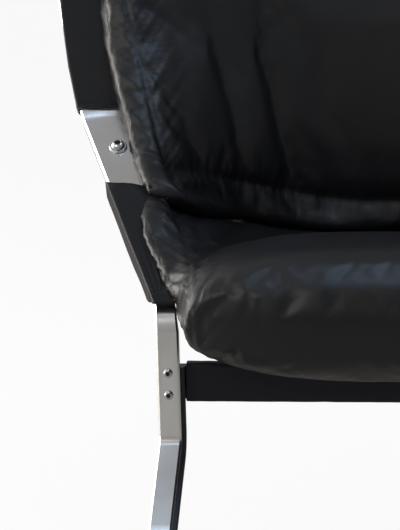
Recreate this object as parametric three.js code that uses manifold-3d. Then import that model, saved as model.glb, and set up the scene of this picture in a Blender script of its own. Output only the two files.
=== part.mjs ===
// Cantilever lounge chair: bent flat-bar springs, leather sleeves and slings, two cushions.
// Millimetres, +Z up. The chair faces -Y, X runs across it. Each upright leg stands at y = 0.
import * as THREE from 'three';
import { mergeVertices } from 'three/addons/utils/BufferGeometryUtils.js';
import Module from 'manifold-3d';

const wasm = await Module();
wasm.setup();

// Flat bar and its bends
const BAR_THICK = 12;
const BAR_BEVEL = 2;
const LEG_WIDTH = 24;
const RUNNER_BACK = 345;
const LOOP_RADIUS = 72;
const KNEE_HEIGHT = 209;
const KNEE_RADIUS = 17;
const KNEE_LEAN = 35;
const LEG_TOP = 355;
const LEG_TOP_RADIUS = 24;
const RAIL_RISE = 35;
const RAIL_LENGTH = 294;
const BACK_RISE = 65;
const BACK_BEND_RADIUS = 60;
const BACK_LENGTH = 503;
const RAIL_THICK = 10;
const TONGUE_LENGTH = 272;
const RAIL_START = 17;

// Half widths of the chair to the outer edge of the bars, floor to head
const FOOT_HALF = 262;
const LOOP_HALF = 260;
const KNEE_HALF = 253;
const LEG_HALF = 255;
const PLATE_HALF = 360;
const SHOULDER_HALF = 390;
const HEAD_HALF = 400;
const FLARE_LENGTH = 136;
const HEAD_LEVEL_LENGTH = 73;
const HEAD_TAPER_SHARE = 0.7;
const PLATE_WIDTH = 54;
const HEAD_WIDTH = 42;
const TONGUE_INSET = 2.5;

// Dark leaf behind the leg and knee
const LEAF_THICK = 8;
const LEAF_WIDTH = 28;
const LEAF_BACK = 40;

// Clearances and overruns
const TOUCH = 0.3;
const HOLE_CLEAR = 0.4;
const OVERRUN = 2;

// Front crossbar
const CORE_HEIGHT = 35.4;
const CORE_THICK = 12;
const CORE_LEVEL = 271.3;
const CORE_END_INSET = 1.5;
const COVER_WALL = 2.7;
const COVER_END_GAP = 1.2;
const COVER_ROUND = 5;

// Head and floor crossbars
const HEAD_BAR_HEIGHT = 34;
const HEAD_BAR_THICK = 8;
const HEAD_BAR_DROP = 34;
const HEAD_BAR_INSET = 3;
const HEAD_BAR_FLAT = 8;
const HEAD_BAR_BOW = 122;
const HEAD_BAR_STEPS = 16;
const FLOOR_BAR_WIDTH = 34;
const FLOOR_BAR_THICK = 8;
const FLOOR_BAR_Y = 285;
const FLOOR_SCREW_PITCH = 16;

// Fasteners
const SCREW_DIAMETER = 6;
const SCREW_HEAD = 10;
const SCREW_HEAD_HEIGHT = 3.6;
const SCREW_PITCH = 23.6;
const SCREW_RISE = 2.3;
const BUTTON_SHARES = [[0.49, 0.4], [0.4, 0.8]];
const SOCKET_RIM_SHARE = 0.3;
const PAIR_SHARES = [-0.5, 0.5];
const SCREW_SOCKET = 4;
const SCREW_SOCKET_DEPTH = 2.2;
const SCREW_TIP_COVER = 2;
const PLATE_SCREW_AT = 237;
const PLATE_SCREW_DIAMETER = 8;
const PLATE_SCREW_HEAD = 15;
const PLATE_SCREW_HEAD_HEIGHT = 5;
const PLATE_SCREW_SOCKET = 6;
const PLATE_SCREW_SOCKET_DEPTH = 3;
const WASHER_DIAMETER = 20;
const WASHER_THICK = 2;
const NUT_DIAMETER = 15;
const NUT_HEIGHT = 8;
const NUT_DOME_SHARE = 0.45;
const JOINT_SCREW_FIRST = 62;
const JOINT_SCREW_STEP = 80;
const JOINT_HEAD = 12;
const JOINT_HEAD_HEIGHT = 3.5;
const JOINT_TIP_COVER = 1;

// Leather sleeves and slings
const SLEEVE_WALL = 2.2;
const SLEEVE_CLEAR = 0.5;
const SLEEVE_ROUND = 3;
const SEAT_SLEEVE_START = 25;
const SEAT_SLEEVE_END = 182;
const SEAT_SLEEVE_LEAN = 25;
const BACK_SLEEVE_START = 296;
const BACK_SLEEVE_TOP_GAP = 5;
const SLING_THICK = 2.4;
const SLING_STEPS = 8;
const SLING_CROSS_STEPS = 12;
const SLING_END_SHARE = 0.01;
const RELIEF_SHARE = 0.003;
const SEAT_SLING_FIRST_SHARE = 0.24;
const SEAT_SLING_LAST_SHARE = 0.94;
const BACK_SLING_FIRST_SHARE = 0.06;
const BACK_SLING_LAST_SHARE = 0.9;

// Cushion sections: place along the rail, rise above it, reach over its inner edge,
// and how far the middle lies behind and below the sides
const SEAT_FRONT_AT = -60.5;
const SEAT_FRONT_RISE = 28.8;
const SEAT_FRONT_OVER = -11;
const SEAT_FRONT_DEEP = -18;
const SEAT_FRONT_DROP = 6;
const SEAT_ROLL_AT = 3.5;
const SEAT_ROLL_RISE = 15.7;
const SEAT_ROLL_OVER = 3.6;
const SEAT_ROLL_DEEP = 30;
const SEAT_ROLL_DROP = 13;
const SEAT_MID_AT = 80;
const SEAT_MID_RISE = 13.4;
const SEAT_MID_OVER = 10.2;
const SEAT_MID_DEEP = 122;
const SEAT_MID_DROP = 96;
const SEAT_BACK_AT = 154.2;
const SEAT_BACK_RISE = 7.8;
const SEAT_BACK_OVER = 23.3;
const SEAT_BACK_DEEP = 266;
const SEAT_BACK_DROP = 125;
const BACK_FOOT_AT = 155.2;
const BACK_FOOT_RISE = 9.5;
const BACK_FOOT_OVER = 16.1;
const BACK_FOOT_DEEP = 266;
const BACK_FOOT_DROP = 110;
const BACK_LUMBAR_SHARE = 0.1586;
const BACK_LUMBAR_RISE = 27.8;
const BACK_LUMBAR_OVER = 12.2;
const BACK_LUMBAR_DEEP = 205;
const BACK_LUMBAR_DROP = 2;
const BACK_MID_SHARE = 0.525;
const BACK_MID_RISE = 30;
const BACK_MID_OVER = 7.2;
const BACK_MID_DEEP = 135;
const BACK_HEAD_INSET = 33.7;
const BACK_HEAD_RISE = 37.7;
const BACK_HEAD_OVER = -12.3;
const BACK_HEAD_DEEP = 100;
const BACK_HEAD_DROP = -10;

// Cushion thicknesses
const SEAT_ROLL_THICK = 134;
const SEAT_BACK_THICK = 104;
const SEAT_SIDE_ROLL_THICK = 110;
const SEAT_SIDE_THICK = 62;
const SEAT_CROWN = 10;
const BACK_THICK = 96;
const BACK_SIDE_THICK = 60;
const BACK_CROWN = 12;

// Channels sewn across the cushions
const CHANNEL_DEPTH = 15;
const CHANNEL_REACH_SHARE = 0.035;
const CHANNEL_ROW_SHARES = [-1, -0.5, 0, 0.5, 1];
const CHANNEL_ROW_GAP_SHARE = 0.25;
const BACK_CHANNEL_SHARES = [0.15, 0.8];

// Glides
const GLIDE_DIAMETER = 19;
const GLIDE_HEIGHT = 5;
const GLIDE_FRONT_Y = -28;
const GLIDE_BACK_INSET = 24;

// Powers of the curves: how square a rounded edge is and how late a curve turns
const ROLL_POWER = 4;
const SIDE_POWER = 5;
const HAMMOCK_POWER = 3;
const BOW_POWER = 3.5;

// Mesh fineness
const ARC_STEP = 11;
const ROUND_SIDES = 16;
const CORNER_STEPS = 4;
const SLEEVE_CORNER_STEPS = 3;
const MERGE_DISTANCE = 1e-3;
const FINE_MERGE_DISTANCE = 1e-4;
const SLOPE_STEP_SHARE = 1e-3;
const CUSHION_STEPS = 13;
const CUSHION_LENGTH_STEPS = 16;
const SIDES = [-1, 1];

// Materials
const steel = () => new THREE.MeshStandardMaterial({ color: 0xb4b4b2, roughness: 0.3, metalness: 1 });
const bolt = () => new THREE.MeshStandardMaterial({ color: 0x8f8f90, roughness: 0.3, metalness: 1 });
const blackMetal = () => new THREE.MeshStandardMaterial({ color: 0x17181b, roughness: 0.5, metalness: 0.4 });
const leather = () => new THREE.MeshStandardMaterial({ color: 0x1b1b1d, roughness: 0.45, metalness: 0 });
const rubber = () => new THREE.MeshStandardMaterial({ color: 0x101010, roughness: 0.8, metalness: 0 });

const root = new THREE.Group();

const addPart = (name, geometry, material) => {
  const mesh = new THREE.Mesh(geometry, material);
  mesh.name = name;
  root.add(mesh);
};

const sideName = (side) => (side < 0 ? 'left' : 'right');
const radians = THREE.MathUtils.degToRad;
const mix = THREE.MathUtils.lerp;
const clamp = THREE.MathUtils.clamp;

// Solids: triangles from a grid or a geometry, joined and cut as manifolds
const toSolid = (geometry) => {
  const bare = geometry.clone();
  bare.deleteAttribute('normal');
  bare.deleteAttribute('uv');
  const merged = mergeVertices(bare, FINE_MERGE_DISTANCE);
  return new wasm.Manifold(new wasm.Mesh({
    numProp: 3,
    vertProperties: new Float32Array(merged.attributes.position.array),
    triVerts: new Uint32Array(merged.index.array),
  }));
};

const toGeometry = (solid) => {
  const mesh = solid.getMesh();
  const geometry = new THREE.BufferGeometry();
  geometry.setAttribute('position', new THREE.BufferAttribute(new Float32Array(mesh.vertProperties), 3));
  geometry.setIndex(new THREE.BufferAttribute(new Uint32Array(mesh.triVerts), 1));
  return geometry;
};

const cut = (geometry, tools) => {
  let solid = toSolid(geometry);
  for (const tool of tools) {
    solid = solid.subtract(toSolid(tool));
  }
  const bodies = solid.decompose().sort((a, b) => b.volume() - a.volume());
  return toGeometry(bodies[0]);
};

// A closed strip lofted through rings of points; every ring has the same number of points
const loftRings = (rings, closedLoft = false) => {
  const count = rings[0].length;
  const positions = rings.flat().flatMap((point) => [point.x, point.y, point.z]);
  const index = [];
  const steps = closedLoft ? rings.length : rings.length - 1;
  for (let i = 0; i < steps; i += 1) {
    for (let j = 0; j < count; j += 1) {
      const a = i * count + j;
      const b = i * count + ((j + 1) % count);
      const c = ((i + 1) % rings.length) * count + ((j + 1) % count);
      const d = ((i + 1) % rings.length) * count + j;
      index.push(a, b, c, a, c, d);
    }
  }
  if (!closedLoft) {
    const last = (rings.length - 1) * count;
    for (let j = 1; j < count - 1; j += 1) {
      index.push(0, j + 1, j);
      index.push(last, last + j, last + j + 1);
    }
  }
  return faceOutward(positions, index);
};

// Turns all triangles over when the enclosed volume comes out negative
function faceOutward(positions, index) {
  const corner = (k) => new THREE.Vector3().fromArray(positions, k * 3);
  let volume = 0;
  for (let i = 0; i < index.length; i += 3) {
    volume += corner(index[i]).dot(corner(index[i + 1]).cross(corner(index[i + 2])));
  }
  const turned = volume < 0 ? [...index].reverse() : index;
  const geometry = new THREE.BufferGeometry();
  geometry.setAttribute('position', new THREE.Float32BufferAttribute(positions, 3));
  geometry.setIndex(turned);
  return geometry;
}

// Side profile of the bars: corners in the Y-Z plane, each rounded by its own radius,
// with the bar's outer half width and its width carried along
const bendPath = (corners) => {
  const stations = [];
  const addStation = (point, tangent, half, width) => stations.push({ point, tangent, half, width });
  let from = corners[0];
  corners.forEach((corner, i) => {
    const next = corners[i + 1];
    const before = corners[i - 1];
    if (!before || !next) {
      const other = next ?? before;
      const tangent = next ? other.at.clone().sub(corner.at) : corner.at.clone().sub(other.at);
      addStation(corner.at.clone(), tangent.normalize(), corner.half, corner.width);
      from = corner;
      return;
    }
    const incoming = corner.at.clone().sub(before.at);
    const outgoing = next.at.clone().sub(corner.at);
    const inLength = incoming.length();
    const outLength = outgoing.length();
    incoming.normalize();
    outgoing.normalize();
    const turn = Math.atan2(incoming.cross(outgoing), incoming.dot(outgoing));
    if (!corner.radius) {
      addStation(corner.at.clone(), incoming.clone().add(outgoing).normalize(), corner.half, corner.width);
      return;
    }
    const reach = corner.radius * Math.tan(Math.abs(turn) / 2);
    const steps = Math.max(2, Math.ceil(THREE.MathUtils.radToDeg(Math.abs(turn)) / ARC_STEP));
    const start = corner.at.clone().addScaledVector(incoming, -reach);
    const centre = start.clone().add(
      new THREE.Vector2(-incoming.y, incoming.x).multiplyScalar(corner.radius * Math.sign(turn)),
    );
    for (let k = 0; k <= steps; k += 1) {
      const share = k / steps;
      const angle = turn * share;
      const point = start.clone().rotateAround(centre, angle);
      const tangent = incoming.clone().rotateAround(new THREE.Vector2(), angle);
      const halfIn = mix(corner.half, before.half, reach / inLength);
      const halfOut = mix(corner.half, next.half, reach / outLength);
      const widthIn = mix(corner.width, before.width, reach / inLength);
      const widthOut = mix(corner.width, next.width, reach / outLength);
      addStation(point, tangent, mix(halfIn, halfOut, share), mix(widthIn, widthOut, share));
    }
  });
  return stations;
};

// The outward normal points to the sitter's side of the rails, the front of the leg and the floor
const normalOf = (tangent) => new THREE.Vector2(-tangent.y, tangent.x);

const place = (x, point) => new THREE.Vector3(x, point.x, point.y);

// A flat bar along stations, its faces at two offsets from the path and its edges bevelled
const stripRings = (stations, side, low, high, grow, bevel) => stations.map((station) => {
  const normal = normalOf(station.tangent);
  const outer = station.half + grow;
  const inner = station.half - station.width - grow;
  const outline = [
    [outer, low + bevel], [outer, high - bevel], [outer - bevel, high], [inner + bevel, high],
    [inner, high - bevel], [inner, low + bevel], [inner + bevel, low], [outer - bevel, low],
  ];
  return outline.map(([x, offset]) => place(side * x, station.point.clone().addScaledVector(normal, offset)));
});

const strip = (stations, side, low, high, bevel = BAR_BEVEL) => (
  loftRings(stripRings(stations, side, low, high, 0, bevel))
);

// The piece of a path between two lengths measured along it
const stretchOf = (stations, first, last) => {
  const result = [];
  let run = 0;
  for (let i = 1; i < stations.length; i += 1) {
    const a = stations[i - 1];
    const b = stations[i];
    const step = a.point.distanceTo(b.point);
    const at = (length) => {
      const share = (length - run) / step;
      return {
        point: a.point.clone().lerp(b.point, share),
        tangent: a.tangent.clone().lerp(b.tangent, share).normalize(),
        half: mix(a.half, b.half, share),
        width: mix(a.width, b.width, share),
      };
    };
    if (first >= run && first < run + step) {
      result.push(at(first));
    }
    if (run + step > first && run + step < last) {
      result.push(b);
    }
    if (last > run && last <= run + step) {
      result.push(at(last));
    }
    run += step;
  }
  return result;
};

const stationAt = (stations, length) => stretchOf(stations, length, length + OVERRUN)[0];

const pathLength = (stations) => stations.slice(1).reduce(
  (sum, station, i) => sum + station.point.distanceTo(stations[i].point),
  0,
);

// Design line of the rail: from the top of the leg to the shoulder and the head
const along = (start, rise, length) => start.clone().add(
  new THREE.Vector2(Math.cos(radians(rise)), Math.sin(radians(rise))).multiplyScalar(length),
);
const legTop = new THREE.Vector2(0, LEG_TOP);
const shoulder = along(legTop, RAIL_RISE, RAIL_LENGTH);
const headEnd = along(shoulder, BACK_RISE, BACK_LENGTH);
const flareBreak = along(shoulder, BACK_RISE, FLARE_LENGTH);
const levelBreak = along(shoulder, BACK_RISE, BACK_LENGTH - HEAD_LEVEL_LENGTH);

// Side rail: flares from the leg to the shoulder, then straightens towards the head
const railFull = bendPath([
  { at: legTop, half: LEG_HALF, width: LEG_WIDTH },
  { at: along(legTop, RAIL_RISE, SEAT_SLEEVE_END),
    half: mix(LEG_HALF, PLATE_HALF, SEAT_SLEEVE_END / RAIL_LENGTH), width: PLATE_WIDTH },
  { at: shoulder, radius: BACK_BEND_RADIUS, half: PLATE_HALF, width: PLATE_WIDTH },
  { at: flareBreak, half: SHOULDER_HALF, width: PLATE_WIDTH },
  { at: levelBreak, half: HEAD_HALF, width: mix(PLATE_WIDTH, HEAD_WIDTH, HEAD_TAPER_SHARE) },
  { at: headEnd, half: HEAD_HALF, width: HEAD_WIDTH },
]);
const railLength = pathLength(railFull);
const rail = stretchOf(railFull, RAIL_START, railLength);

// Base spring: floor runner, front loop, knee, leg, and the tongue under the rail
const tongueDrop = RAIL_THICK / 2 + TOUCH + BAR_THICK / 2;
const tongueTop = legTop.y - tongueDrop / Math.cos(radians(RAIL_RISE));
const runnerLevel = GLIDE_HEIGHT + BAR_THICK / 2;
const kneeSlope = Math.tan(radians(KNEE_LEAN));
const loopCorner = new THREE.Vector2((runnerLevel - KNEE_HEIGHT) / kneeSlope, runnerLevel);
const springCorner = new THREE.Vector2(0, tongueTop);
const tongueSlip = (legTop.y - tongueTop) * Math.sin(radians(RAIL_RISE));
const underRail = (length) => {
  const station = stationAt(railFull, length);
  return {
    at: along(springCorner, RAIL_RISE, length + tongueSlip),
    half: station.half - TONGUE_INSET,
    width: station.width - 2 * TONGUE_INSET,
  };
};
const spring = bendPath([
  { at: new THREE.Vector2(RUNNER_BACK, runnerLevel), half: FOOT_HALF, width: LEG_WIDTH },
  { at: loopCorner, radius: LOOP_RADIUS, half: LOOP_HALF, width: LEG_WIDTH },
  { at: new THREE.Vector2(0, KNEE_HEIGHT), radius: KNEE_RADIUS, half: KNEE_HALF, width: LEG_WIDTH },
  { at: springCorner, radius: LEG_TOP_RADIUS, half: LEG_HALF, width: LEG_WIDTH },
  underRail(RAIL_START),
  underRail(SEAT_SLEEVE_END),
  underRail(TONGUE_LENGTH - tongueSlip),
]);

// Holes: a round bar through a strip, square to its path
const cylinderAcross = (x, point, normal, radius, low, high) => {
  const geometry = new THREE.CylinderGeometry(radius, radius, high - low, ROUND_SIDES);
  const direction = place(0, normal);
  geometry.applyQuaternion(new THREE.Quaternion().setFromUnitVectors(new THREE.Vector3(0, 1, 0), direction));
  const middle = place(x, point.clone().addScaledVector(normal, (low + high) / 2));
  return geometry.translate(middle.x, middle.y, middle.z);
};

// A turned fastener: its profile runs from the tip to the top, along the normal
const turned = (profile, x, point, normal, sides = ROUND_SIDES) => {
  const geometry = new THREE.LatheGeometry(profile.map(([r, h]) => new THREE.Vector2(r, h)), sides);
  const direction = place(0, normal);
  geometry.applyQuaternion(new THREE.Quaternion().setFromUnitVectors(new THREE.Vector3(0, 1, 0), direction));
  const middle = place(x, point);
  return geometry.translate(middle.x, middle.y, middle.z);
};

// Button head with a hexagonal socket: shank from tip to seat, domed head above
const buttonScrew = (diameter, head, headHeight, tip, seat, socket, socketDepth) => [
  [0, tip], [diameter / 2, tip], [diameter / 2, seat], [head / 2, seat],
  ...BUTTON_SHARES.map(([wide, tall]) => [head * wide, seat + headHeight * tall]),
  [socket / 2 + headHeight * SOCKET_RIM_SHARE, seat + headHeight], [socket / 2, seat + headHeight],
  [socket / 2, seat + headHeight - socketDepth], [0, seat + headHeight - socketDepth],
];

const centreX = (station) => station.half - station.width / 2;

// Places of the fasteners: a point on the bar, the outward normal there and the bar's middle
const legHalfAt = (level) => mix(KNEE_HALF, LEG_HALF, (level - KNEE_HEIGHT) / (tongueTop - KNEE_HEIGHT));
const legNormal = new THREE.Vector2(-1, 0);
const crossbarSpots = SIDES.flatMap((side) => PAIR_SHARES.map((share) => {
  const level = CORE_LEVEL + SCREW_RISE + share * SCREW_PITCH;
  const x = side * (legHalfAt(level) - LEG_WIDTH / 2);
  return { side, x, point: new THREE.Vector2(0, level), normal: legNormal };
}));
const railSpot = (side, length) => {
  const station = stationAt(railFull, length);
  return { side, x: side * centreX(station), point: station.point, normal: normalOf(station.tangent) };
};
const plateSpots = SIDES.map((side) => railSpot(side, PLATE_SCREW_AT));
const jointSpots = SIDES.flatMap((side) => (
  [0, 1].map((k) => railSpot(side, JOINT_SCREW_FIRST + k * JOINT_SCREW_STEP))
));
const headBarAt = railLength - HEAD_BAR_DROP;
const headSpots = SIDES.map((side) => railSpot(side, headBarAt));
const floorHalf = mix(FOOT_HALF, LOOP_HALF, (RUNNER_BACK - FLOOR_BAR_Y) / (RUNNER_BACK - loopCorner.x));
const floorNormal = new THREE.Vector2(0, 1);
const floorSpots = SIDES.flatMap((side) => PAIR_SHARES.map((share) => ({
  side,
  x: side * (floorHalf - LEG_WIDTH / 2),
  point: new THREE.Vector2(FLOOR_BAR_Y + share * FLOOR_SCREW_PITCH, runnerLevel),
  normal: floorNormal,
})));

// Levels of the faces that the fasteners meet, measured along the normals
const leafBack = -(BAR_THICK / 2 + TOUCH + LEAF_THICK);
const coreFront = leafBack - TOUCH;
const coreBack = coreFront - CORE_THICK;
const railFace = RAIL_THICK / 2;
const tongueFace = -(railFace + TOUCH + BAR_THICK);
const plateSeat = railFace + TOUCH + WASHER_THICK + TOUCH;
const floorBarTop = BAR_THICK / 2 + TOUCH + FLOOR_BAR_THICK;
const headBarBack = -(railFace + TOUCH + HEAD_BAR_THICK);

const onSide = (spots, side) => spots.filter((spot) => spot.side === side);
const holes = (spots, diameter, low, high) => spots.map((spot) => (
  cylinderAcross(spot.x, spot.point, spot.normal, diameter / 2 + HOLE_CLEAR, low, high)
));
const countersinks = (spots) => spots.map((spot) => turned([
  [0, railFace - JOINT_HEAD_HEIGHT - HOLE_CLEAR],
  [SCREW_DIAMETER / 2 + HOLE_CLEAR, railFace - JOINT_HEAD_HEIGHT - HOLE_CLEAR],
  [JOINT_HEAD / 2 + HOLE_CLEAR, railFace + HOLE_CLEAR],
  [0, railFace + HOLE_CLEAR],
], spot.x, spot.point, spot.normal));

// Base springs
const makeBaseSpring = (side) => cut(strip(spring, side, -BAR_THICK / 2, BAR_THICK / 2), [
  ...holes(onSide(crossbarSpots, side), SCREW_DIAMETER, -BAR_THICK, BAR_THICK),
  ...holes(onSide(plateSpots, side), PLATE_SCREW_DIAMETER, tongueFace - OVERRUN, railFace),
  ...holes(onSide(jointSpots, side), SCREW_DIAMETER, tongueFace + JOINT_TIP_COVER, railFace),
  ...holes(onSide(floorSpots, side), SCREW_DIAMETER, -BAR_THICK / 2 + SCREW_TIP_COVER, BAR_THICK),
]);

const lengthToHeight = (stations, level) => {
  let run = 0;
  for (let i = 1; i < stations.length; i += 1) {
    const a = stations[i - 1].point;
    const b = stations[i].point;
    if (a.y < level && b.y >= level) {
      return run + a.distanceTo(b) * ((level - a.y) / (b.y - a.y));
    }
    run += a.distanceTo(b);
  }
  return run;
};

// Leaf that doubles the spring behind the leg, the knee and the loop
const makeKneeLeaf = (side) => {
  const top = lengthToHeight(spring, CORE_LEVEL + CORE_HEIGHT / 2);
  const stations = stretchOf(spring, RUNNER_BACK - LEAF_BACK, top).map((station) => (
    { ...station, width: LEAF_WIDTH }
  ));
  return cut(strip(stations, side, leafBack, -BAR_THICK / 2 - TOUCH, BAR_BEVEL / 2), (
    holes(onSide(crossbarSpots, side), SCREW_DIAMETER, coreBack, BAR_THICK)
  ));
};

const makeSideRail = (side) => cut(strip(rail, side, -railFace, railFace), [
  ...holes(onSide(plateSpots, side), PLATE_SCREW_DIAMETER, -RAIL_THICK, RAIL_THICK),
  ...holes(onSide(jointSpots, side), SCREW_DIAMETER, -RAIL_THICK, RAIL_THICK),
  ...countersinks(onSide(jointSpots, side)),
  ...holes(onSide(headSpots, side), SCREW_DIAMETER, -RAIL_THICK, RAIL_THICK),
]);

// Front crossbar behind the legs
const boxBetween = (low, high) => {
  const size = high.clone().sub(low);
  const middle = high.clone().add(low).divideScalar(2);
  return new THREE.BoxGeometry(size.x, size.y, size.z).translate(middle.x, middle.y, middle.z);
};
const coreHalf = legHalfAt(CORE_LEVEL) - CORE_END_INSET;
const coreLow = CORE_LEVEL - CORE_HEIGHT / 2;
const coreHigh = CORE_LEVEL + CORE_HEIGHT / 2;

const makeFrontCrossbar = () => cut(
  boxBetween(
    new THREE.Vector3(-coreHalf, -coreFront, coreLow),
    new THREE.Vector3(coreHalf, -coreBack, coreHigh),
  ),
  holes(crossbarSpots, SCREW_DIAMETER, coreBack + SCREW_TIP_COVER - HOLE_CLEAR, coreFront + OVERRUN),
);

const roundedOutline = (lowX, highX, lowY, highY, radius) => {
  const shape = new THREE.Shape();
  shape.moveTo(lowX + radius, lowY);
  shape.lineTo(highX - radius, lowY);
  shape.absarc(highX - radius, lowY + radius, radius, -Math.PI / 2, 0);
  shape.lineTo(highX, highY - radius);
  shape.absarc(highX - radius, highY - radius, radius, 0, Math.PI / 2);
  shape.lineTo(lowX + radius, highY);
  shape.absarc(lowX + radius, highY - radius, radius, Math.PI / 2, Math.PI);
  shape.lineTo(lowX, lowY + radius);
  shape.absarc(lowX + radius, lowY + radius, radius, Math.PI, Math.PI * 1.5);
  return shape;
};

// Leather wrapped round the crossbar between the legs
const coverTop = coreHigh + SLEEVE_CLEAR + COVER_WALL;
const makeCrossbarCover = () => {
  const half = legHalfAt(CORE_LEVEL) - LEAF_WIDTH - COVER_END_GAP;
  const grown = (grow, radius) => roundedOutline(
    -coreFront - grow, -coreBack + grow, coreLow - grow, coreHigh + grow, radius,
  );
  const shape = grown(SLEEVE_CLEAR + COVER_WALL, COVER_ROUND);
  shape.holes.push(grown(SLEEVE_CLEAR, SLEEVE_CLEAR));
  const geometry = new THREE.ExtrudeGeometry(shape, {
    depth: 2 * half, bevelEnabled: false, curveSegments: CORNER_STEPS,
  });
  geometry.applyMatrix4(new THREE.Matrix4().makeBasis(
    new THREE.Vector3(0, 1, 0), new THREE.Vector3(0, 0, 1), new THREE.Vector3(1, 0, 0),
  ));
  return geometry.translate(-half, 0, 0);
};

// One node for each spot, named by its side and its place in the row
const addTurned = (name, spots, profile, material) => {
  const placed = { left: 0, right: 0 };
  for (const spot of spots) {
    const side = sideName(spot.side);
    placed[side] += 1;
    addPart(`${name}_${side}_${placed[side]}`, turned(profile, spot.x, spot.point, spot.normal), material());
  }
};

const crossbarScrew = buttonScrew(
  SCREW_DIAMETER, SCREW_HEAD, SCREW_HEAD_HEIGHT, coreBack + SCREW_TIP_COVER,
  BAR_THICK / 2 + TOUCH, SCREW_SOCKET, SCREW_SOCKET_DEPTH,
);

const nutLow = tongueFace - TOUCH - NUT_HEIGHT;
const plateScrew = buttonScrew(
  PLATE_SCREW_DIAMETER, PLATE_SCREW_HEAD, PLATE_SCREW_HEAD_HEIGHT, nutLow + SCREW_TIP_COVER + TOUCH,
  plateSeat, PLATE_SCREW_SOCKET, PLATE_SCREW_SOCKET_DEPTH,
);

// Dished washer: a ring with a raised rounded rim
const plateWasher = () => {
  const bore = PLATE_SCREW_DIAMETER / 2 + HOLE_CLEAR;
  const rim = WASHER_DIAMETER / 2;
  const low = railFace + TOUCH;
  return [
    [bore, low], [rim, low], [rim, low + WASHER_THICK / 2],
    [rim - WASHER_THICK / 2, low + WASHER_THICK], [bore, low + WASHER_THICK], [bore, low],
  ];
};

// Cap nut with a blind bore
const plateNut = () => {
  const bore = PLATE_SCREW_DIAMETER / 2 + HOLE_CLEAR;
  const outer = NUT_DIAMETER / 2;
  const high = tongueFace - TOUCH;
  const dome = outer * NUT_DOME_SHARE;
  return [
    [0, nutLow], [outer - dome, nutLow], [outer, nutLow + dome], [outer, high],
    [bore, high], [bore, nutLow + SCREW_TIP_COVER], [0, nutLow + SCREW_TIP_COVER],
  ];
};

const railJointScrew = [
  [0, tongueFace + JOINT_TIP_COVER + TOUCH], [SCREW_DIAMETER / 2, tongueFace + JOINT_TIP_COVER + TOUCH],
  [SCREW_DIAMETER / 2, railFace - JOINT_HEAD_HEIGHT], [JOINT_HEAD / 2, railFace], [0, railFace],
];

// Head crossbar: flat ends behind the rails, bowed back between them
const makeHeadCrossbar = () => {
  const station = stationAt(railFull, headBarAt);
  const normal = normalOf(station.tangent);
  const half = station.half - HEAD_BAR_INSET;
  const flat = station.half - station.width - HEAD_BAR_FLAT;
  const between = Array.from({ length: HEAD_BAR_STEPS + 1 }, (_, k) => (2 * k) / HEAD_BAR_STEPS - 1);
  const shares = [-1, ...between, 1];
  const rings = shares.map((share, i) => {
    const end = i === 0 || i === shares.length - 1;
    const x = end ? share * half : share * flat;
    const bow = end ? 0 : HEAD_BAR_BOW * (1 - Math.abs(share) ** BOW_POWER);
    const corner = (offset, rise) => place(x, station.point.clone()
      .addScaledVector(normal, offset - bow)
      .addScaledVector(station.tangent, rise));
    const front = -(railFace + TOUCH);
    const tall = HEAD_BAR_HEIGHT / 2;
    return [corner(front, -tall), corner(front, tall), corner(headBarBack, tall), corner(headBarBack, -tall)];
  });
  return cut(loftRings(rings), holes(headSpots, SCREW_DIAMETER, headBarBack - OVERRUN, railFace));
};

const headScrew = buttonScrew(
  SCREW_DIAMETER, SCREW_HEAD, SCREW_HEAD_HEIGHT, headBarBack,
  railFace + TOUCH, SCREW_SOCKET, SCREW_SOCKET_DEPTH,
);

const makeFloorCrossbar = () => {
  const half = floorHalf - CORE_END_INSET;
  const low = runnerLevel + BAR_THICK / 2 + TOUCH;
  return cut(boxBetween(
    new THREE.Vector3(-half, FLOOR_BAR_Y - FLOOR_BAR_WIDTH / 2, low),
    new THREE.Vector3(half, FLOOR_BAR_Y + FLOOR_BAR_WIDTH / 2, low + FLOOR_BAR_THICK),
  ), holes(floorSpots, SCREW_DIAMETER, 0, floorBarTop + OVERRUN));
};

const floorScrew = buttonScrew(
  SCREW_DIAMETER, SCREW_HEAD, SCREW_HEAD_HEIGHT, -BAR_THICK / 2 + SCREW_TIP_COVER + TOUCH,
  floorBarTop + TOUCH, SCREW_SOCKET, SCREW_SOCKET_DEPTH,
);

const makeGlide = (side, y) => {
  const share = (RUNNER_BACK - y) / (RUNNER_BACK - loopCorner.x);
  const height = GLIDE_HEIGHT - TOUCH;
  const middle = mix(FOOT_HALF, LOOP_HALF, share) - LEG_WIDTH / 2;
  return new THREE.CylinderGeometry(GLIDE_DIAMETER / 2, GLIDE_DIAMETER / 2, height, ROUND_SIDES)
    .rotateX(Math.PI / 2)
    .translate(side * middle, y, height / 2);
};

// Rings of a leather tube round a bar; the first ring leans forward by its lean at the upper side
const tubeRings = (stations, side, low, high, grow, radius, lean) => stations.map((station, i) => {
  const outline = roundedOutline(-grow, station.width + grow, low - grow, high + grow, radius)
    .getPoints(SLEEVE_CORNER_STEPS).slice(0, -1);
  const normal = normalOf(station.tangent);
  const next = stations[i + 1];
  return outline.map(({ x, y }) => {
    const slide = i === 0 ? -lean * clamp((y - low) / (high - low), 0, 1) : 0;
    const share = slide ? slide / station.point.distanceTo(next.point) : 0;
    const half = share ? mix(station.half, next.half, share) : station.half;
    const width = share ? mix(station.width, next.width, share) : station.width;
    const point = station.point.clone().addScaledVector(station.tangent, slide).addScaledVector(normal, y);
    return place(side * (half - width + (x * width) / station.width), point);
  });
});

// An outer and an inner skin joined at both open ends
const tubeShell = (stations, side, low, high, lean) => {
  const outer = tubeRings(stations, side, low, high, SLEEVE_CLEAR + SLEEVE_WALL, SLEEVE_ROUND, lean);
  const inner = tubeRings(stations, side, low, high, SLEEVE_CLEAR, SLEEVE_CLEAR, lean);
  return loftRings([...outer, ...inner.reverse()], true);
};

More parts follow.
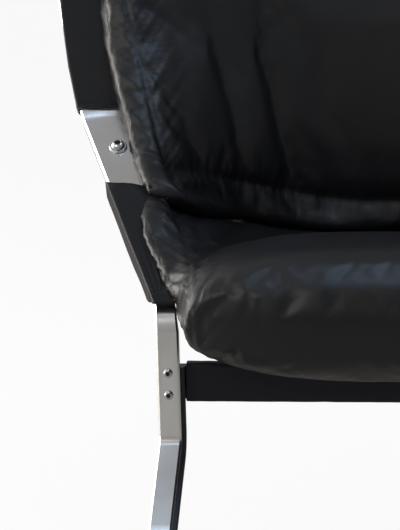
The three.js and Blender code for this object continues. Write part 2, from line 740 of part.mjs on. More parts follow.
const sleeveLow = tongueFace;
const backSleeveEnd = headBarAt - HEAD_BAR_HEIGHT / 2 - BACK_SLEEVE_TOP_GAP;
const seatSleeveStations = stretchOf(railFull, SEAT_SLEEVE_START, SEAT_SLEEVE_END);
const makeSeatSleeve = (side) => (
  tubeShell(seatSleeveStations, side, sleeveLow, railFace, SEAT_SLEEVE_LEAN)
);
const makeBackSleeve = (side) => (
  tubeShell(stretchOf(railFull, BACK_SLEEVE_START, backSleeveEnd), side, -railFace, railFace, 0)
);

// Two grids of points joined round their borders into one closed solid
const gridSolid = (top, bottom) => {
  const rows = top.length;
  const columns = top[0].length;
  const positions = [...top, ...bottom].flat().flatMap((point) => [point.x, point.y, point.z]);
  const at = (layer, i, j) => (layer * rows + i) * columns + j;
  const index = [];
  const quad = (a, b, c, d) => index.push(a, b, c, a, c, d);
  for (let i = 0; i < rows - 1; i += 1) {
    for (let j = 0; j < columns - 1; j += 1) {
      quad(at(0, i, j), at(0, i, j + 1), at(0, i + 1, j + 1), at(0, i + 1, j));
      quad(at(1, i, j), at(1, i + 1, j), at(1, i + 1, j + 1), at(1, i, j + 1));
    }
    quad(at(0, i, 0), at(0, i + 1, 0), at(1, i + 1, 0), at(1, i, 0));
    quad(at(1, i, columns - 1), at(1, i + 1, columns - 1), at(0, i + 1, columns - 1), at(0, i, columns - 1));
  }
  for (let j = 0; j < columns - 1; j += 1) {
    quad(at(1, 0, j), at(1, 0, j + 1), at(0, 0, j + 1), at(0, 0, j));
    quad(at(0, rows - 1, j), at(0, rows - 1, j + 1), at(1, rows - 1, j + 1), at(1, rows - 1, j));
  }
  const raw = new THREE.BufferGeometry();
  raw.setAttribute('position', new THREE.Float32BufferAttribute(positions, 3));
  raw.setIndex(index);
  const merged = mergeVertices(raw, MERGE_DISTANCE);
  const ids = merged.index.array;
  const kept = [];
  for (let i = 0; i < ids.length; i += 3) {
    const [a, b, c] = [ids[i], ids[i + 1], ids[i + 2]];
    if (a !== b && b !== c && a !== c) {
      kept.push(a, b, c);
    }
  }
  return faceOutward(Array.from(merged.attributes.position.array), kept);
};

// A surface slung between a middle curve and its two side curves; s runs along, t across
const beyond = (curve, s) => {
  const held = clamp(s, 0, 1);
  return curve.getPoint(held).addScaledVector(curve.getTangent(held), (s - held) * curve.getLength());
};

const slungSurface = (middle, sideCurve, halfWidth) => (s, t) => {
  const share = Math.abs(t) ** HAMMOCK_POWER;
  return place(t * halfWidth(s), beyond(middle, s).lerp(beyond(sideCurve, s), share));
};

const normalAt = (surface, s, t) => {
  const step = SLOPE_STEP_SHARE;
  const alongS = surface(s + step, t).sub(surface(s - step, t));
  const low = clamp(t - step / 2, -1, 1 - step);
  const alongT = surface(s, low + step).sub(surface(s, low));
  return alongT.cross(alongS).normalize();
};

const offsetGrid = (surface, sShares, tShares, offset) => sShares.map((s) => tShares.map((t) => (
  surface(s, t).addScaledVector(normalAt(surface, s, t), offset(s, t))
)));

const evenShares = (count, low = 0, high = 1) => (
  Array.from({ length: count + 1 }, (_, k) => mix(low, high, k / count))
);
const roundShares = (count, low = 0, high = 1) => (
  Array.from({ length: count + 1 }, (_, k) => mix(low, high, 0.5 - 0.5 * Math.cos((Math.PI * k) / count)))
);

const curveThrough = (pairs) => new THREE.SplineCurve(pairs.map(([y, z]) => new THREE.Vector2(y, z)));
const valueThrough = (values) => {
  const curve = new THREE.SplineCurve(values.map((value, k) => new THREE.Vector2(k, value)));
  return (s) => curve.getPoint(clamp(s, 0, 1)).y;
};
const edgeRound = (share, power) => (1 - Math.abs(share) ** power) ** (1 / power);

// A cushion: its middle surface, with a crowned thickness that rounds off at every edge
const channelDip = (s, channels) => channels.reduce((sum, channel) => {
  const distance = (s - channel.share) / channel.reach;
  return Math.abs(distance) < 1 ? sum + CHANNEL_DEPTH * (1 - Math.abs(distance)) ** 2 : sum;
}, 0);

const halfThickness = (cushion, s, t) => {
  const body = mix(cushion.thick(s), cushion.sideThick(s), Math.abs(t) ** HAMMOCK_POWER) / 2;
  const crown = cushion.crown * (1 - t * t) * Math.sin(Math.PI * s);
  return (body + crown) * edgeRound(2 * s - 1, ROLL_POWER) * edgeRound(t, SIDE_POWER);
};

const cushionSolid = (cushion, sShares) => {
  const tShares = roundShares(CUSHION_STEPS, -1, 1);
  const top = offsetGrid(cushion.surface, sShares, tShares, (s, t) => {
    const half = halfThickness(cushion, s, t);
    return half - Math.min(half / 2, channelDip(s, cushion.channels) * edgeRound(t, SIDE_POWER));
  });
  const bottom = offsetGrid(cushion.surface, sShares, tShares, (s, t) => -halfThickness(cushion, s, t));
  return gridSolid(top, bottom);
};

// A spot beside the rail, and the surface slung between such spots on both sides
const besideRail = (length, rise) => {
  const held = clamp(length, 0, railLength - OVERRUN);
  const { point, tangent, half, width } = stationAt(railFull, held);
  const at = point.clone().addScaledVector(tangent, length - held).addScaledVector(normalOf(tangent), rise);
  return { at, inner: half - width };
};

const slungBetweenRails = (sections) => {
  const spots = sections.map(({ at, rise }) => besideRail(at, rise));
  return slungSurface(
    curveThrough(spots.map((spot, k) => [spot.at.x + sections[k].deep, spot.at.y - sections[k].drop])),
    curveThrough(spots.map((spot) => [spot.at.x, spot.at.y])),
    valueThrough(spots.map((spot, k) => spot.inner + sections[k].over)),
  );
};

const section = (at, rise, over, deep, drop) => ({ at, rise, over, deep, drop });
const seatShape = {
  surface: slungBetweenRails([
    section(SEAT_FRONT_AT, SEAT_FRONT_RISE, SEAT_FRONT_OVER, SEAT_FRONT_DEEP, SEAT_FRONT_DROP),
    section(SEAT_ROLL_AT, SEAT_ROLL_RISE, SEAT_ROLL_OVER, SEAT_ROLL_DEEP, SEAT_ROLL_DROP),
    section(SEAT_MID_AT, SEAT_MID_RISE, SEAT_MID_OVER, SEAT_MID_DEEP, SEAT_MID_DROP),
    section(SEAT_BACK_AT, SEAT_BACK_RISE, SEAT_BACK_OVER, SEAT_BACK_DEEP, SEAT_BACK_DROP),
  ]),
  thick: (s) => mix(SEAT_ROLL_THICK, SEAT_BACK_THICK, s),
  sideThick: (s) => mix(SEAT_SIDE_ROLL_THICK, SEAT_SIDE_THICK, Math.min(1, s * 2)),
  crown: SEAT_CROWN,
  channels: [],
};

const backHeadAt = railLength - BACK_HEAD_INSET;
const backLumbarAt = mix(BACK_FOOT_AT, backHeadAt, BACK_LUMBAR_SHARE);
const backMidAt = mix(BACK_FOOT_AT, backHeadAt, BACK_MID_SHARE);
const backShape = {
  surface: slungBetweenRails([
    section(BACK_FOOT_AT, BACK_FOOT_RISE, BACK_FOOT_OVER, BACK_FOOT_DEEP, BACK_FOOT_DROP),
    section(backLumbarAt, BACK_LUMBAR_RISE, BACK_LUMBAR_OVER, BACK_LUMBAR_DEEP, BACK_LUMBAR_DROP),
    section(backMidAt, BACK_MID_RISE, BACK_MID_OVER, BACK_MID_DEEP, 0),
    section(backHeadAt, BACK_HEAD_RISE, BACK_HEAD_OVER, BACK_HEAD_DEEP, BACK_HEAD_DROP),
  ]),
  thick: () => BACK_THICK,
  sideThick: () => BACK_SIDE_THICK,
  crown: BACK_CROWN,
  channels: BACK_CHANNEL_SHARES.map((share) => ({ share, reach: CHANNEL_REACH_SHARE })),
};

// Slings follow the underside of their cushion in the middle and the sleeves at the sides
const slingSurface = (shape, firstShare, lastShare, firstLength, lastLength, level) => {
  const underside = evenShares(SLING_STEPS, firstShare, lastShare).map((s) => {
    const drop = halfThickness(shape, s, 0) + TOUCH + SLING_THICK / 2;
    return shape.surface(s, 0).addScaledVector(normalAt(shape.surface, s, 0), -drop);
  });
  const edges = evenShares(SLING_STEPS).map((share) => {
    const station = stationAt(railFull, mix(firstLength, lastLength, share));
    const inner = station.half - station.width;
    const point = station.point.clone().addScaledVector(normalOf(station.tangent), level);
    return { inner, point };
  });
  const middle = curveThrough(underside.map((point) => [point.y, point.z]));
  const sideCurve = curveThrough(edges.map((edge) => [edge.point.x, edge.point.y]));
  return slungSurface(middle, sideCurve, valueThrough(edges.map((edge) => edge.inner)));
};

const seatSlingSurface = slingSurface(
  seatShape, SEAT_SLING_FIRST_SHARE, SEAT_SLING_LAST_SHARE, SEAT_SLEEVE_START, SEAT_SLEEVE_END, sleeveLow / 2,
);
const backSlingSurface = slingSurface(
  backShape, BACK_SLING_FIRST_SHARE, BACK_SLING_LAST_SHARE, BACK_SLEEVE_START, backSleeveEnd, 0,
);

const slingSheet = (surface, low, high) => {
  const sShares = evenShares(SLING_STEPS);
  const tShares = evenShares(SLING_CROSS_STEPS, -1, 1);
  return gridSolid(
    offsetGrid(surface, sShares, tShares, () => high),
    offsetGrid(surface, sShares, tShares, () => low),
  );
};

// What the cushions give way to: the slings and all that lies under them, the sleeves and the legs
const sleeveReach = SLEEVE_CLEAR + SLEEVE_WALL + TOUCH;
const railTool = (side) => loftRings(stripRings(
  stretchOf(railFull, RAIL_START - OVERRUN, railLength), side,
  sleeveLow - sleeveReach, railFace + sleeveReach, sleeveReach, BAR_BEVEL,
));
const sleeveTool = (side) => loftRings(tubeRings(
  stretchOf(railFull, SEAT_SLEEVE_START - 2 * OVERRUN, SEAT_SLEEVE_END + OVERRUN),
  side, sleeveLow, railFace, sleeveReach, SLEEVE_ROUND, SEAT_SLEEVE_LEAN,
));
const legTool = (side) => loftRings(stripRings(
  stretchOf(spring, lengthToHeight(spring, KNEE_HEIGHT + BAR_THICK), pathLength(spring)),
  side, -BAR_THICK, BAR_THICK / 2 + TOUCH, TOUCH, BAR_BEVEL,
));
const slingTools = (surface, away) => {
  const inside = evenShares(SLING_STEPS);
  const sShares = [-SLING_END_SHARE, ...inside, 1 + SLING_END_SHARE];
  const tShares = [-1 - SLING_END_SHARE, ...evenShares(SLING_CROSS_STEPS, -1, 1), 1 + SLING_END_SHARE];
  const reach = SLING_THICK / 2 + TOUCH;
  const top = offsetGrid(surface, sShares, tShares, () => reach);
  const bottom = offsetGrid(surface, sShares, tShares, () => -reach);
  const shift = place(0, away.clone().multiplyScalar(SEAT_ROLL_THICK));
  const swept = top.map((row) => row.map((point) => point.clone().add(shift)));
  return [gridSolid(top, bottom), gridSolid(top, swept)];
};

const coverReach = SLEEVE_CLEAR + COVER_WALL + TOUCH;
const coverTool = () => boxBetween(
  new THREE.Vector3(-LEG_HALF, -coreFront - coverReach, coreLow - coverReach),
  new THREE.Vector3(LEG_HALF, -coreBack + coverReach, coverTop + TOUCH),
);

// A sling is trimmed to the sleeves that it is sewn to and rests on the crossbar
const makeSling = (surface) => cut(slingSheet(surface, -SLING_THICK / 2, SLING_THICK / 2), [
  ...SIDES.map(railTool),
  coverTool(),
]);

const cushionTools = () => [
  coverTool(),
  ...holes(plateSpots, WASHER_DIAMETER, nutLow - TOUCH, plateSeat + PLATE_SCREW_HEAD_HEIGHT + OVERRUN),
  ...SIDES.flatMap((side) => [railTool(side), sleeveTool(side), legTool(side)]),
  ...slingTools(seatSlingSurface, new THREE.Vector2(0, -1)),
  ...slingTools(backSlingSurface, normalOf(along(new THREE.Vector2(), BACK_RISE, 1)).negate()),
];

const makeSeatCushion = () => cut(cushionSolid(seatShape, roundShares(CUSHION_LENGTH_STEPS)), cushionTools());

const channelRows = BACK_CHANNEL_SHARES.flatMap((share) => (
  CHANNEL_ROW_SHARES.map((offset) => share + offset * CHANNEL_REACH_SHARE)
));
const backRows = [
  ...roundShares(CUSHION_LENGTH_STEPS - channelRows.length).filter((s) => (
    channelRows.every((row) => Math.abs(row - s) > CHANNEL_ROW_GAP_SHARE * CHANNEL_REACH_SHARE)
  )),
  ...channelRows,
].sort((a, b) => a - b);

// The seat cushion, a little longer, wider and thicker than it is
const seatReliefTool = () => cushionSolid({
  ...seatShape,
  surface: (s, t) => seatShape.surface(s + (2 * s - 1) * RELIEF_SHARE, t * (1 + RELIEF_SHARE)),
  thick: (s) => seatShape.thick(s) + 2 * TOUCH,
  sideThick: (s) => seatShape.sideThick(s) + 2 * TOUCH,
}, roundShares(CUSHION_LENGTH_STEPS));

const makeBackCushion = () => cut(cushionSolid(backShape, backRows), [...cushionTools(), seatReliefTool()]);

// Assembly
for (const side of SIDES) {
  const name = sideName(side);
  addPart(`base_spring_${name}`, makeBaseSpring(side), steel());
  addPart(`knee_leaf_${name}`, makeKneeLeaf(side), blackMetal());
  addPart(`side_rail_${name}`, makeSideRail(side), steel());
  addPart(`seat_sleeve_${name}`, makeSeatSleeve(side), leather());
  addPart(`back_sleeve_${name}`, makeBackSleeve(side), leather());
  addPart(`floor_glide_front_${name}`, makeGlide(side, GLIDE_FRONT_Y), rubber());
  addPart(`floor_glide_back_${name}`, makeGlide(side, RUNNER_BACK - GLIDE_BACK_INSET), rubber());
}
addPart('front_crossbar', makeFrontCrossbar(), blackMetal());
addPart('crossbar_cover', makeCrossbarCover(), leather());
addTurned('crossbar_screw', crossbarSpots, crossbarScrew, bolt);
addTurned('rail_joint_screw', jointSpots, railJointScrew, bolt);
addTurned('plate_screw', plateSpots, plateScrew, bolt);
addTurned('plate_washer', plateSpots, plateWasher(), bolt);
addTurned('plate_nut', plateSpots, plateNut(), bolt);
addPart('head_crossbar', makeHeadCrossbar(), blackMetal());
addTurned('head_screw', headSpots, headScrew, bolt);
addPart('floor_crossbar', makeFloorCrossbar(), steel());
addTurned('floor_screw', floorSpots, floorScrew, bolt);
addPart('seat_sling', makeSling(seatSlingSurface), leather());
addPart('back_sling', makeSling(backSlingSurface), leather());
addPart('seat_cushion', makeSeatCushion(), leather());
addPart('back_cushion', makeBackCushion(), leather());

// The origin is the middle of the footprint, on the floor
const extent = new THREE.Box3().setFromObject(root, true);
root.position.y = -(extent.min.y + extent.max.y) / 2;
root.position.z = -extent.min.z;

export default root;
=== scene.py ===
import math

import bpy
from mathutils import Matrix, Vector, noise
from mathutils.bvhtree import BVHTree
from mathutils.kdtree import KDTree


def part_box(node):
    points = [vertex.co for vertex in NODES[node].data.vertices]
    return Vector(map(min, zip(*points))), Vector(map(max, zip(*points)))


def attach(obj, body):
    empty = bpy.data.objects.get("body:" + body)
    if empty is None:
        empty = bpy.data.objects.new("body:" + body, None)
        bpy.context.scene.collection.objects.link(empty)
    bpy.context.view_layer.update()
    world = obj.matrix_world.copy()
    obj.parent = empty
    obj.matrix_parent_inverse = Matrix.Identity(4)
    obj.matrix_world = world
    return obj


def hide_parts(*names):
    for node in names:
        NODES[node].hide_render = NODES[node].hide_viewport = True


bl_info = {
    "name": "Cantilever Lounge Chair",
    "version": (1, 0, 0),
    "blender": (4, 5, 0),
    "location": "3D View > Sidebar > Chair",
    "description": "Dresses the frame of a cantilever lounge chair: steel, leather and cushions",
    "category": "Object",
}

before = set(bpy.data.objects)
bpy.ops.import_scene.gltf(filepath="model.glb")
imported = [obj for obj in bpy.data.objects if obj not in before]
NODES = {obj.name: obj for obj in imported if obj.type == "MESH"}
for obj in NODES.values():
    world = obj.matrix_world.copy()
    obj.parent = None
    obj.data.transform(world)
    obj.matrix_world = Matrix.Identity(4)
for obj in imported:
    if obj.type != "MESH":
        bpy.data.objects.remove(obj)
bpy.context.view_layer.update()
SIDES = ("left", "right")
MM = 0.001


# Settings

def length_setting(name, description, default):
    return bpy.props.FloatProperty(name=name, description=description, default=default, unit="LENGTH")


def angle_setting(name, description, degrees):
    return bpy.props.FloatProperty(
        name=name, description=description, default=math.radians(degrees), unit="ROTATION")


def colour_setting(name, description, default):
    return bpy.props.FloatVectorProperty(
        name=name, description=description, default=default, subtype="COLOR", size=3)


class ChairSizes(bpy.types.PropertyGroup):
    grain: length_setting("Leather grain", "Width of one pebble of the leather's grain", 1.3 * MM)
    cushion_cell: length_setting(
        "Cushion cell", "Size of the mesh cells that the cushions are swelled on", 6 * MM)
    stitch_length: length_setting("Stitch length", "Length of one stitch of the seams", 4 * MM)
    stitch_width: length_setting("Stitch width", "Thickness of the sewing thread", 0.8 * MM)


class ChairColours(bpy.types.PropertyGroup):
    leather: colour_setting("Leather", "Colour of the black leather", (0.0052, 0.0051, 0.0058))
    steel: colour_setting("Steel", "Colour of the polished flat bars", (0.92, 0.90, 0.88))
    fastener: colour_setting("Fasteners", "Colour of the screws and washers", (0.66, 0.66, 0.67))
    black_paint: colour_setting("Black paint", "Colour of the painted bars", (0.012, 0.012, 0.014))
    # Pale colour at the sleeves' cut edges: a painted highlight along the edge.
    cut_edge_highlight: colour_setting("Cut edge", "Colour of the leather's cut edges", (0.16, 0.155, 0.15))
    thread: colour_setting("Thread", "Colour of the sewing thread", (0.03, 0.03, 0.035))
    floor: colour_setting(
        "Floor", "Colour of the floor in its reflections on the chair", (0.47, 0.45, 0.42))


class ChairCamera(bpy.types.PropertyGroup):
    across: length_setting("Across", "Camera's place to the right of the middle plane", 0.111)
    distance: length_setting("Distance", "Camera's distance in front of the upright legs", 3.575)
    height: length_setting("Height", "Camera's height above the floor", 1.069)
    pitch: angle_setting("Pitch", "How far the camera looks down", 10.56)
    yaw: angle_setting("Yaw", "How far the camera turns to its left", 5.09)
    roll: angle_setting("Roll", "How far the camera leans", -0.80)
    focal_pixels: bpy.props.FloatProperty(
        name="Focal length", description="Focal length in pixels of the photograph",
        default=3496.0)


LEG_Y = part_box("crossbar_screw_left_1")[0][1] + 9.9 * MM
PHOTO_HEIGHT = 530
SENSOR = 36.0


# Shader sockets with arithmetic

class Socket:
    def __init__(self, tree, socket):
        self.tree = tree
        self.socket = socket

    def _math(self, operation, *values):
        maths = self.tree.nodes.new("ShaderNodeMath")
        maths.operation = operation
        for slot, value in zip(maths.inputs, values):
            if isinstance(value, Socket):
                self.tree.links.new(value.socket, slot)
            else:
                slot.default_value = value
        return Socket(self.tree, maths.outputs[0])

    def __add__(self, other):
        return self._math("ADD", self, other)

    def __radd__(self, other):
        return self._math("ADD", other, self)

    def __sub__(self, other):
        return self._math("SUBTRACT", self, other)

    def __rsub__(self, other):
        return self._math("SUBTRACT", other, self)

    def __mul__(self, other):
        return self._math("MULTIPLY", self, other)

    def __rmul__(self, other):
        return self._math("MULTIPLY", other, self)

    def __truediv__(self, other):
        return self._math("DIVIDE", self, other)

    def __rtruediv__(self, other):
        return self._math("DIVIDE", other, self)

    def __pow__(self, other):
        return self._math("POWER", self, other)


class Finish:
    """A node-based material with one Principled shader."""

    def __init__(self, name):
        self.material = bpy.data.materials.new(name)
        self.material.use_nodes = True
        self.tree = self.material.node_tree
        self.shader = self.tree.nodes["Principled BSDF"]
        self.output = self.tree.nodes["Material Output"]

    def node(self, kind, settings=None, output=0, **values):
        made = self.tree.nodes.new(kind)
        for key, value in (settings or {}).items():
            if key == "stops":
                for element, (position, colour) in zip(made.color_ramp.elements, value):
                    element.position = position
                    element.color = colour
            else:
                setattr(made, key, value)
        for key, value in values.items():
            names = [slot.name.replace(" ", "_") for slot in made.inputs if slot.enabled]
            slots = [slot for slot in made.inputs if slot.enabled]
            self.feed(slots[names.index(key)], value)
        return Socket(self.tree, made.outputs[output])

    def feed(self, slot, value):
        if isinstance(value, Socket):
            self.tree.links.new(value.socket, slot)
        else:
            slot.default_value = value

    def set(self, name, value):
        self.feed(self.shader.inputs[name], value)

    def place(self, stretch=(1, 1, 1)):
        where = self.node("ShaderNodeTexCoord", output=3)
        return self.node("ShaderNodeMapping", Vector=where, Scale=stretch)

    def noise(self, scale, detail=3.0, roughness=0.5, stretch=(1, 1, 1), distortion=0.0):
        return self.node("ShaderNodeTexNoise", Vector=self.place(stretch), Scale=scale, Detail=detail,
                         Roughness=roughness, Distortion=distortion)

    def ramp(self, value, low, high, start=0.0, end=1.0):
        return self.node("ShaderNodeMapRange", Value=value, From_Min=low, From_Max=high,
                         To_Min=start, To_Max=end)

    def blend(self, factor, first, second):
        return self.node("ShaderNodeMix", {"data_type": "RGBA"}, output=2, Factor=factor,
                         A=(*first, 1) if not isinstance(first, Socket) else first,
                         B=(*second, 1) if not isinstance(second, Socket) else second)

    def attribute(self, name):
        return self.node("ShaderNodeAttribute", {"attribute_name": name}, output=2)

    def bump(self, height, distance, strength=1.0, below=None):
        extra = {"Normal": below} if below is not None else {}
        return self.node("ShaderNodeBump", Height=height, Distance=distance, Strength=strength, **extra)


# Finishes

def colours():
    return bpy.context.scene.chair_colours


def sizes():
    return bpy.context.scene.chair_sizes


def leather_finish(name, gloss, shine, gathered=False, tint=(1.0, 1.0, 1.0)):
    """Black leather: pebbled grain, fine creases and a soft sheen. A gathered cushion also has a sunk
    line along its seams, short creases that run out from them, and pressed creases by the other cushion.
    A sleeve has rolled hems with a sewn groove, and a pale band at its cut edge that is a painted highlight
    along the edge."""
    finish = Finish(name)
    grain_scale = 1 / sizes().grain
    pebbles = finish.node("ShaderNodeTexVoronoi", {"feature": "F1"}, Vector=finish.place(), Scale=grain_scale)
    fine = finish.noise(grain_scale * 1.7, detail=2)
    creases = finish.noise(60, detail=5, roughness=0.65, stretch=(1, 1, 1.8), distortion=0.8)
    patches = finish.noise(6, detail=3)
    normal = finish.bump(pebbles * 0.6 + fine * 0.4, distance=0.12 * MM, strength=0.5)
    normal = finish.bump(creases, distance=0.5 * MM, strength=0.35, below=normal)
    if gathered:
        seam = finish.attribute("seam")
        run = finish.attribute("run")
        press = finish.attribute("press")
        gathers = finish.node("ShaderNodeTexNoise", Detail=3.0, Scale=1.0, Distortion=0.3,
                              Vector=finish.node("ShaderNodeCombineXYZ", X=run * 0.14, Y=seam * 0.02))
        rays = finish.noise(1, detail=4, stretch=(190, 16, 30))
        gathers = gathers * finish.ramp(seam, 8, 55, 1, 0)
        normal = finish.bump(gathers, distance=1.1 * MM, strength=0.5, below=normal)
        normal = finish.bump(rays * press, distance=1.3 * MM, strength=0.3, below=normal)
        normal = finish.bump(finish.ramp(seam, 0.4, 2.4), distance=0.9 * MM, strength=0.8, below=normal)
    # tint paints light into the leather's colour: the crossbar's copy is made lighter and bluer, a painted
    # light on its front face.
    base = tuple(channel * share for channel, share in zip(colours().leather, tint))
    worn = tuple(channel * 1.7 for channel in base)
    colour = finish.blend(finish.ramp(patches, 0.35, 0.75), base, worn)
    if not gathered:
        hem = finish.attribute("hem")
        roll = finish.ramp(hem, 0.5, 4.0) * finish.ramp(hem, 7.0, 4.5)
        normal = finish.bump(roll, distance=0.8 * MM, strength=0.7, below=normal)
        # The cut edge is painted pale: a painted highlight along the sleeve's mouth.
        colour = finish.blend(finish.ramp(hem, 1.2, 0.3), colour, tuple(colours().cut_edge_highlight))
    finish.set("Normal", normal)
    finish.set("Base Color", colour)
    finish.set("Roughness", finish.ramp(patches, 0.3, 0.7, gloss - 0.04, gloss + 0.06))
    finish.set("Specular IOR Level", shine)
    return finish.material


def steel_finish(name, colour, low=0.20, high=0.27, streak=(1, 1, 1)):
    """Polished flat bar: a faint cloudy polish, fine lines along the bar and a few scratches."""
    finish = Finish(name)
    clouds = finish.noise(9, detail=3, roughness=0.5)
    brushed = finish.noise(700, detail=2, stretch=streak)
    fine_streak = tuple(2.0 * share for share in streak)
    scratches = finish.noise(190, detail=6, roughness=0.75, stretch=fine_streak, distortion=0.4)
    mark = finish.ramp(scratches, 0.64, 0.74)
    dull = tuple(channel * 0.86 for channel in colour)
    finish.set("Base Color", finish.blend(finish.ramp(clouds, 0.3, 0.75) * 0.75 + mark * 0.25, dull, colour))
    finish.set("Metallic", 1.0)
    finish.set("Roughness", finish.ramp(clouds, 0.3, 0.7, low, high) + mark * 0.06)
    finish.set("Normal", finish.bump(brushed * 0.6 + scratches * 0.4, distance=0.02 * MM, strength=0.35))
    return finish.material


def paint_finish(name):
    """Satin black paint with a faint orange peel and dust-grey wear."""
    finish = Finish(name)
    peel = finish.noise(420, detail=2)
    wear = finish.noise(38, detail=5, roughness=0.7)
    base = tuple(colours().black_paint)
    finish.set("Base Color", finish.blend(finish.ramp(wear, 0.6, 0.8), base, tuple(3 * c for c in base)))
    finish.set("Roughness", finish.ramp(wear, 0.3, 0.7, 0.38, 0.5))
    finish.set("Normal", finish.bump(peel, distance=0.00006, strength=0.4))
    return finish.material


def rubber_finish(name):
    """Matt black rubber, slightly mottled."""
    finish = Finish(name)
    mottle = finish.noise(300, detail=4)
    finish.set("Base Color", finish.blend(mottle, (0.010, 0.010, 0.010), (0.03, 0.03, 0.03)))
    finish.set("Roughness", finish.ramp(mottle, 0.3, 0.7, 0.7, 0.85))
    return finish.material


def made_finish(name, maker, *values, **options):
    return bpy.data.materials.get(name) or maker(name, *values, **options)


def cushion_leather():
    return made_finish("gathered_leather", leather_finish, 0.37, 0.38, gathered=True)


def sleeve_leather():
    return made_finish("hemmed_leather", leather_finish, 0.46, 0.21)


# The same black leather, painted lighter and bluer as painted light on the crossbar's front.
def crossbar_leather():
    return made_finish("crossbar_leather", leather_finish, 0.46, 0.21, tint=(1.9, 1.9, 2.5))


def bar_steel():
    return made_finish("bar_steel", steel_finish, tuple(colours().steel), streak=(1, 1, 0.08))


def plate_steel():
    return made_finish("plate_steel", steel_finish, tuple(colours().steel), streak=(1, 0.12, 0.12))


def thread_finish(name):
    """Waxed thread: a fine twist along each stitch."""
    finish = Finish(name)
    twist = finish.noise(1600, detail=1)
    base = tuple(colours().thread)
    finish.set("Base Color", finish.blend(twist, tuple(0.6 * channel for channel in base), base))
    finish.set("Roughness", 0.5)
    finish.set("Normal", finish.bump(twist, distance=0.1 * MM, strength=0.5))
    return finish.material


def sewing_thread():
    return made_finish("sewing_thread", thread_finish)


def fastener_steel():
    return made_finish("screw_steel", steel_finish, tuple(colours().fastener), low=0.22, high=0.28)


def black_paint():
    return made_finish("black_paint", paint_finish)


def glide_rubber():
    return made_finish("foot_rubber", rubber_finish)


# Mesh work

def deselect_all():
    if bpy.context.object and bpy.context.object.mode != "OBJECT":
        bpy.ops.object.mode_set(mode="OBJECT")
    bpy.ops.object.select_all(action="DESELECT")


def make_active(piece):
    deselect_all()
    piece.select_set(True)
    bpy.context.view_layer.objects.active = piece


def new_object(name, data):
    made = bpy.data.objects.new(name, data)
    bpy.context.scene.collection.objects.link(made)
    return made


def edit_all(piece, *steps):
    """Runs edit-mode steps on the whole of a piece."""
    make_active(piece)
    bpy.ops.object.mode_set(mode="EDIT")
    bpy.ops.mesh.select_all(action="SELECT")
    for step in steps:
        step()
    bpy.ops.object.mode_set(mode="OBJECT")


def join_selected(piece):
    """Joins the selected pieces into this one."""
    piece.select_set(True)
    bpy.context.view_layer.objects.active = piece
    bpy.ops.object.join()


def paint(piece, material):
    piece.data.materials.clear()
    piece.data.materials.append(material)


def finish_piece(piece, material, slot, *nodes, angle=35):
    """Gives a new piece its smooth faces, finish and body, and lets it stand for its CAD nodes."""
    make_active(piece)
    bpy.ops.object.shade_smooth_by_angle(angle=math.radians(angle))
    paint(piece, material)
    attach(piece, "root")
    if nodes:
        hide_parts(*nodes)
    return piece


def node_copy(node, name):
    """A piece with the shape of a CAD node, its loose triangles joined and flat faces made whole."""
    piece = new_object(name, NODES[node].data.copy())
    edit_all(piece, lambda: bpy.ops.mesh.remove_doubles(threshold=0.02 * MM),
             lambda: bpy.ops.mesh.tris_convert_to_quads(
                 face_threshold=math.radians(30), shape_threshold=math.radians(60)))
    return piece


def keep_largest(piece):
    """Drops the crumbs that a remesh leaves where a cushion thins out."""
    make_active(piece)
    bpy.ops.mesh.separate(type="LOOSE")
    parts = list(bpy.context.selected_objects)
    largest = max(parts, key=lambda part: len(part.data.vertices))
    piece.data, largest.data = largest.data, piece.data
    for part in parts:
        if part != piece:
            bpy.data.objects.remove(part)


def apply_modifier(piece, kind, **settings):
    make_active(piece)
    modifier = piece.modifiers.new(kind.title(), kind)
    for key, value in settings.items():
        setattr(modifier, key, value)
    bpy.ops.object.modifier_apply(modifier=modifier.name)


def wave(position, pitch, seed):
    """A wave of uneven folds, from -1 to 1."""
    drift = 1.6 * noise.noise(Vector((position / (4 * pitch), seed, 0.0)))
    return math.sin(math.tau * position / pitch + 3 * drift) * (0.65 + 0.5 * noise.noise(
        Vector((position / (2.5 * pitch), seed + 7.0, 0.0))))


def falloff(distance, width):
    return math.exp(-(distance / width) ** 2)


def swell(point, size, seed):
    """Broad soft unevenness of a filled cushion, from -1 to 1."""
    return noise.noise(Vector(point) / size + Vector((seed, 0.0, 0.0)))


def relief(piece, shape):
    """Moves every point along its normal by what the shape gives for it."""
    moves = [vertex.normal * shape(vertex.co, vertex.normal) for vertex in piece.data.vertices]
    for vertex, move in zip(piece.data.vertices, moves):
        vertex.co = vertex.co + move


def store(piece, name, values):
    kept = piece.data.attributes.new(name, "FLOAT", "POINT")
    kept.data.foreach_set("value", values)


def surface_of(piece):
    mesh = piece.data
    return BVHTree.FromPolygons([v.co for v in mesh.vertices], [tuple(f.vertices) for f in mesh.polygons])


# Pieces

class BarsOperator(bpy.types.Operator):
    """Makes the polished base springs and side rails and the floor crossbar."""
    bl_idname = "chair.add_bars"
    bl_label = "Steel bars"

    def execute(self, context):
        for side in SIDES:
            spring = node_copy(f"base_spring_{side}", f"spring_{side}")
            finish_piece(spring, bar_steel(), "spring_steel", f"base_spring_{side}")
            rail = node_copy(f"side_rail_{side}", f"rail_{side}")
            finish_piece(rail, plate_steel(), "rail_steel", f"side_rail_{side}")
        bar = node_copy("floor_crossbar", "floor_bar")
        apply_modifier(bar, "BEVEL", width=1.2 * MM, segments=2, limit_method="ANGLE")
        finish_piece(bar, bar_steel(), "spring_steel", "floor_crossbar")
        return {"FINISHED"}


class DarkBarsOperator(bpy.types.Operator):
    """Makes the black leaves behind the legs and the painted crossbars."""
    bl_idname = "chair.add_dark_bars"
    bl_label = "Black bars"

    def execute(self, context):
        for side in SIDES:
            leaf = node_copy(f"knee_leaf_{side}", f"leaf_{side}")
            finish_piece(leaf, black_paint(), "leaf_paint", f"knee_leaf_{side}")
        for node in ("front_crossbar", "head_crossbar"):
            bar = node_copy(node, f"{node}_bar")
            finish_piece(bar, black_paint(), "crossbar_paint", node)
        return {"FINISHED"}


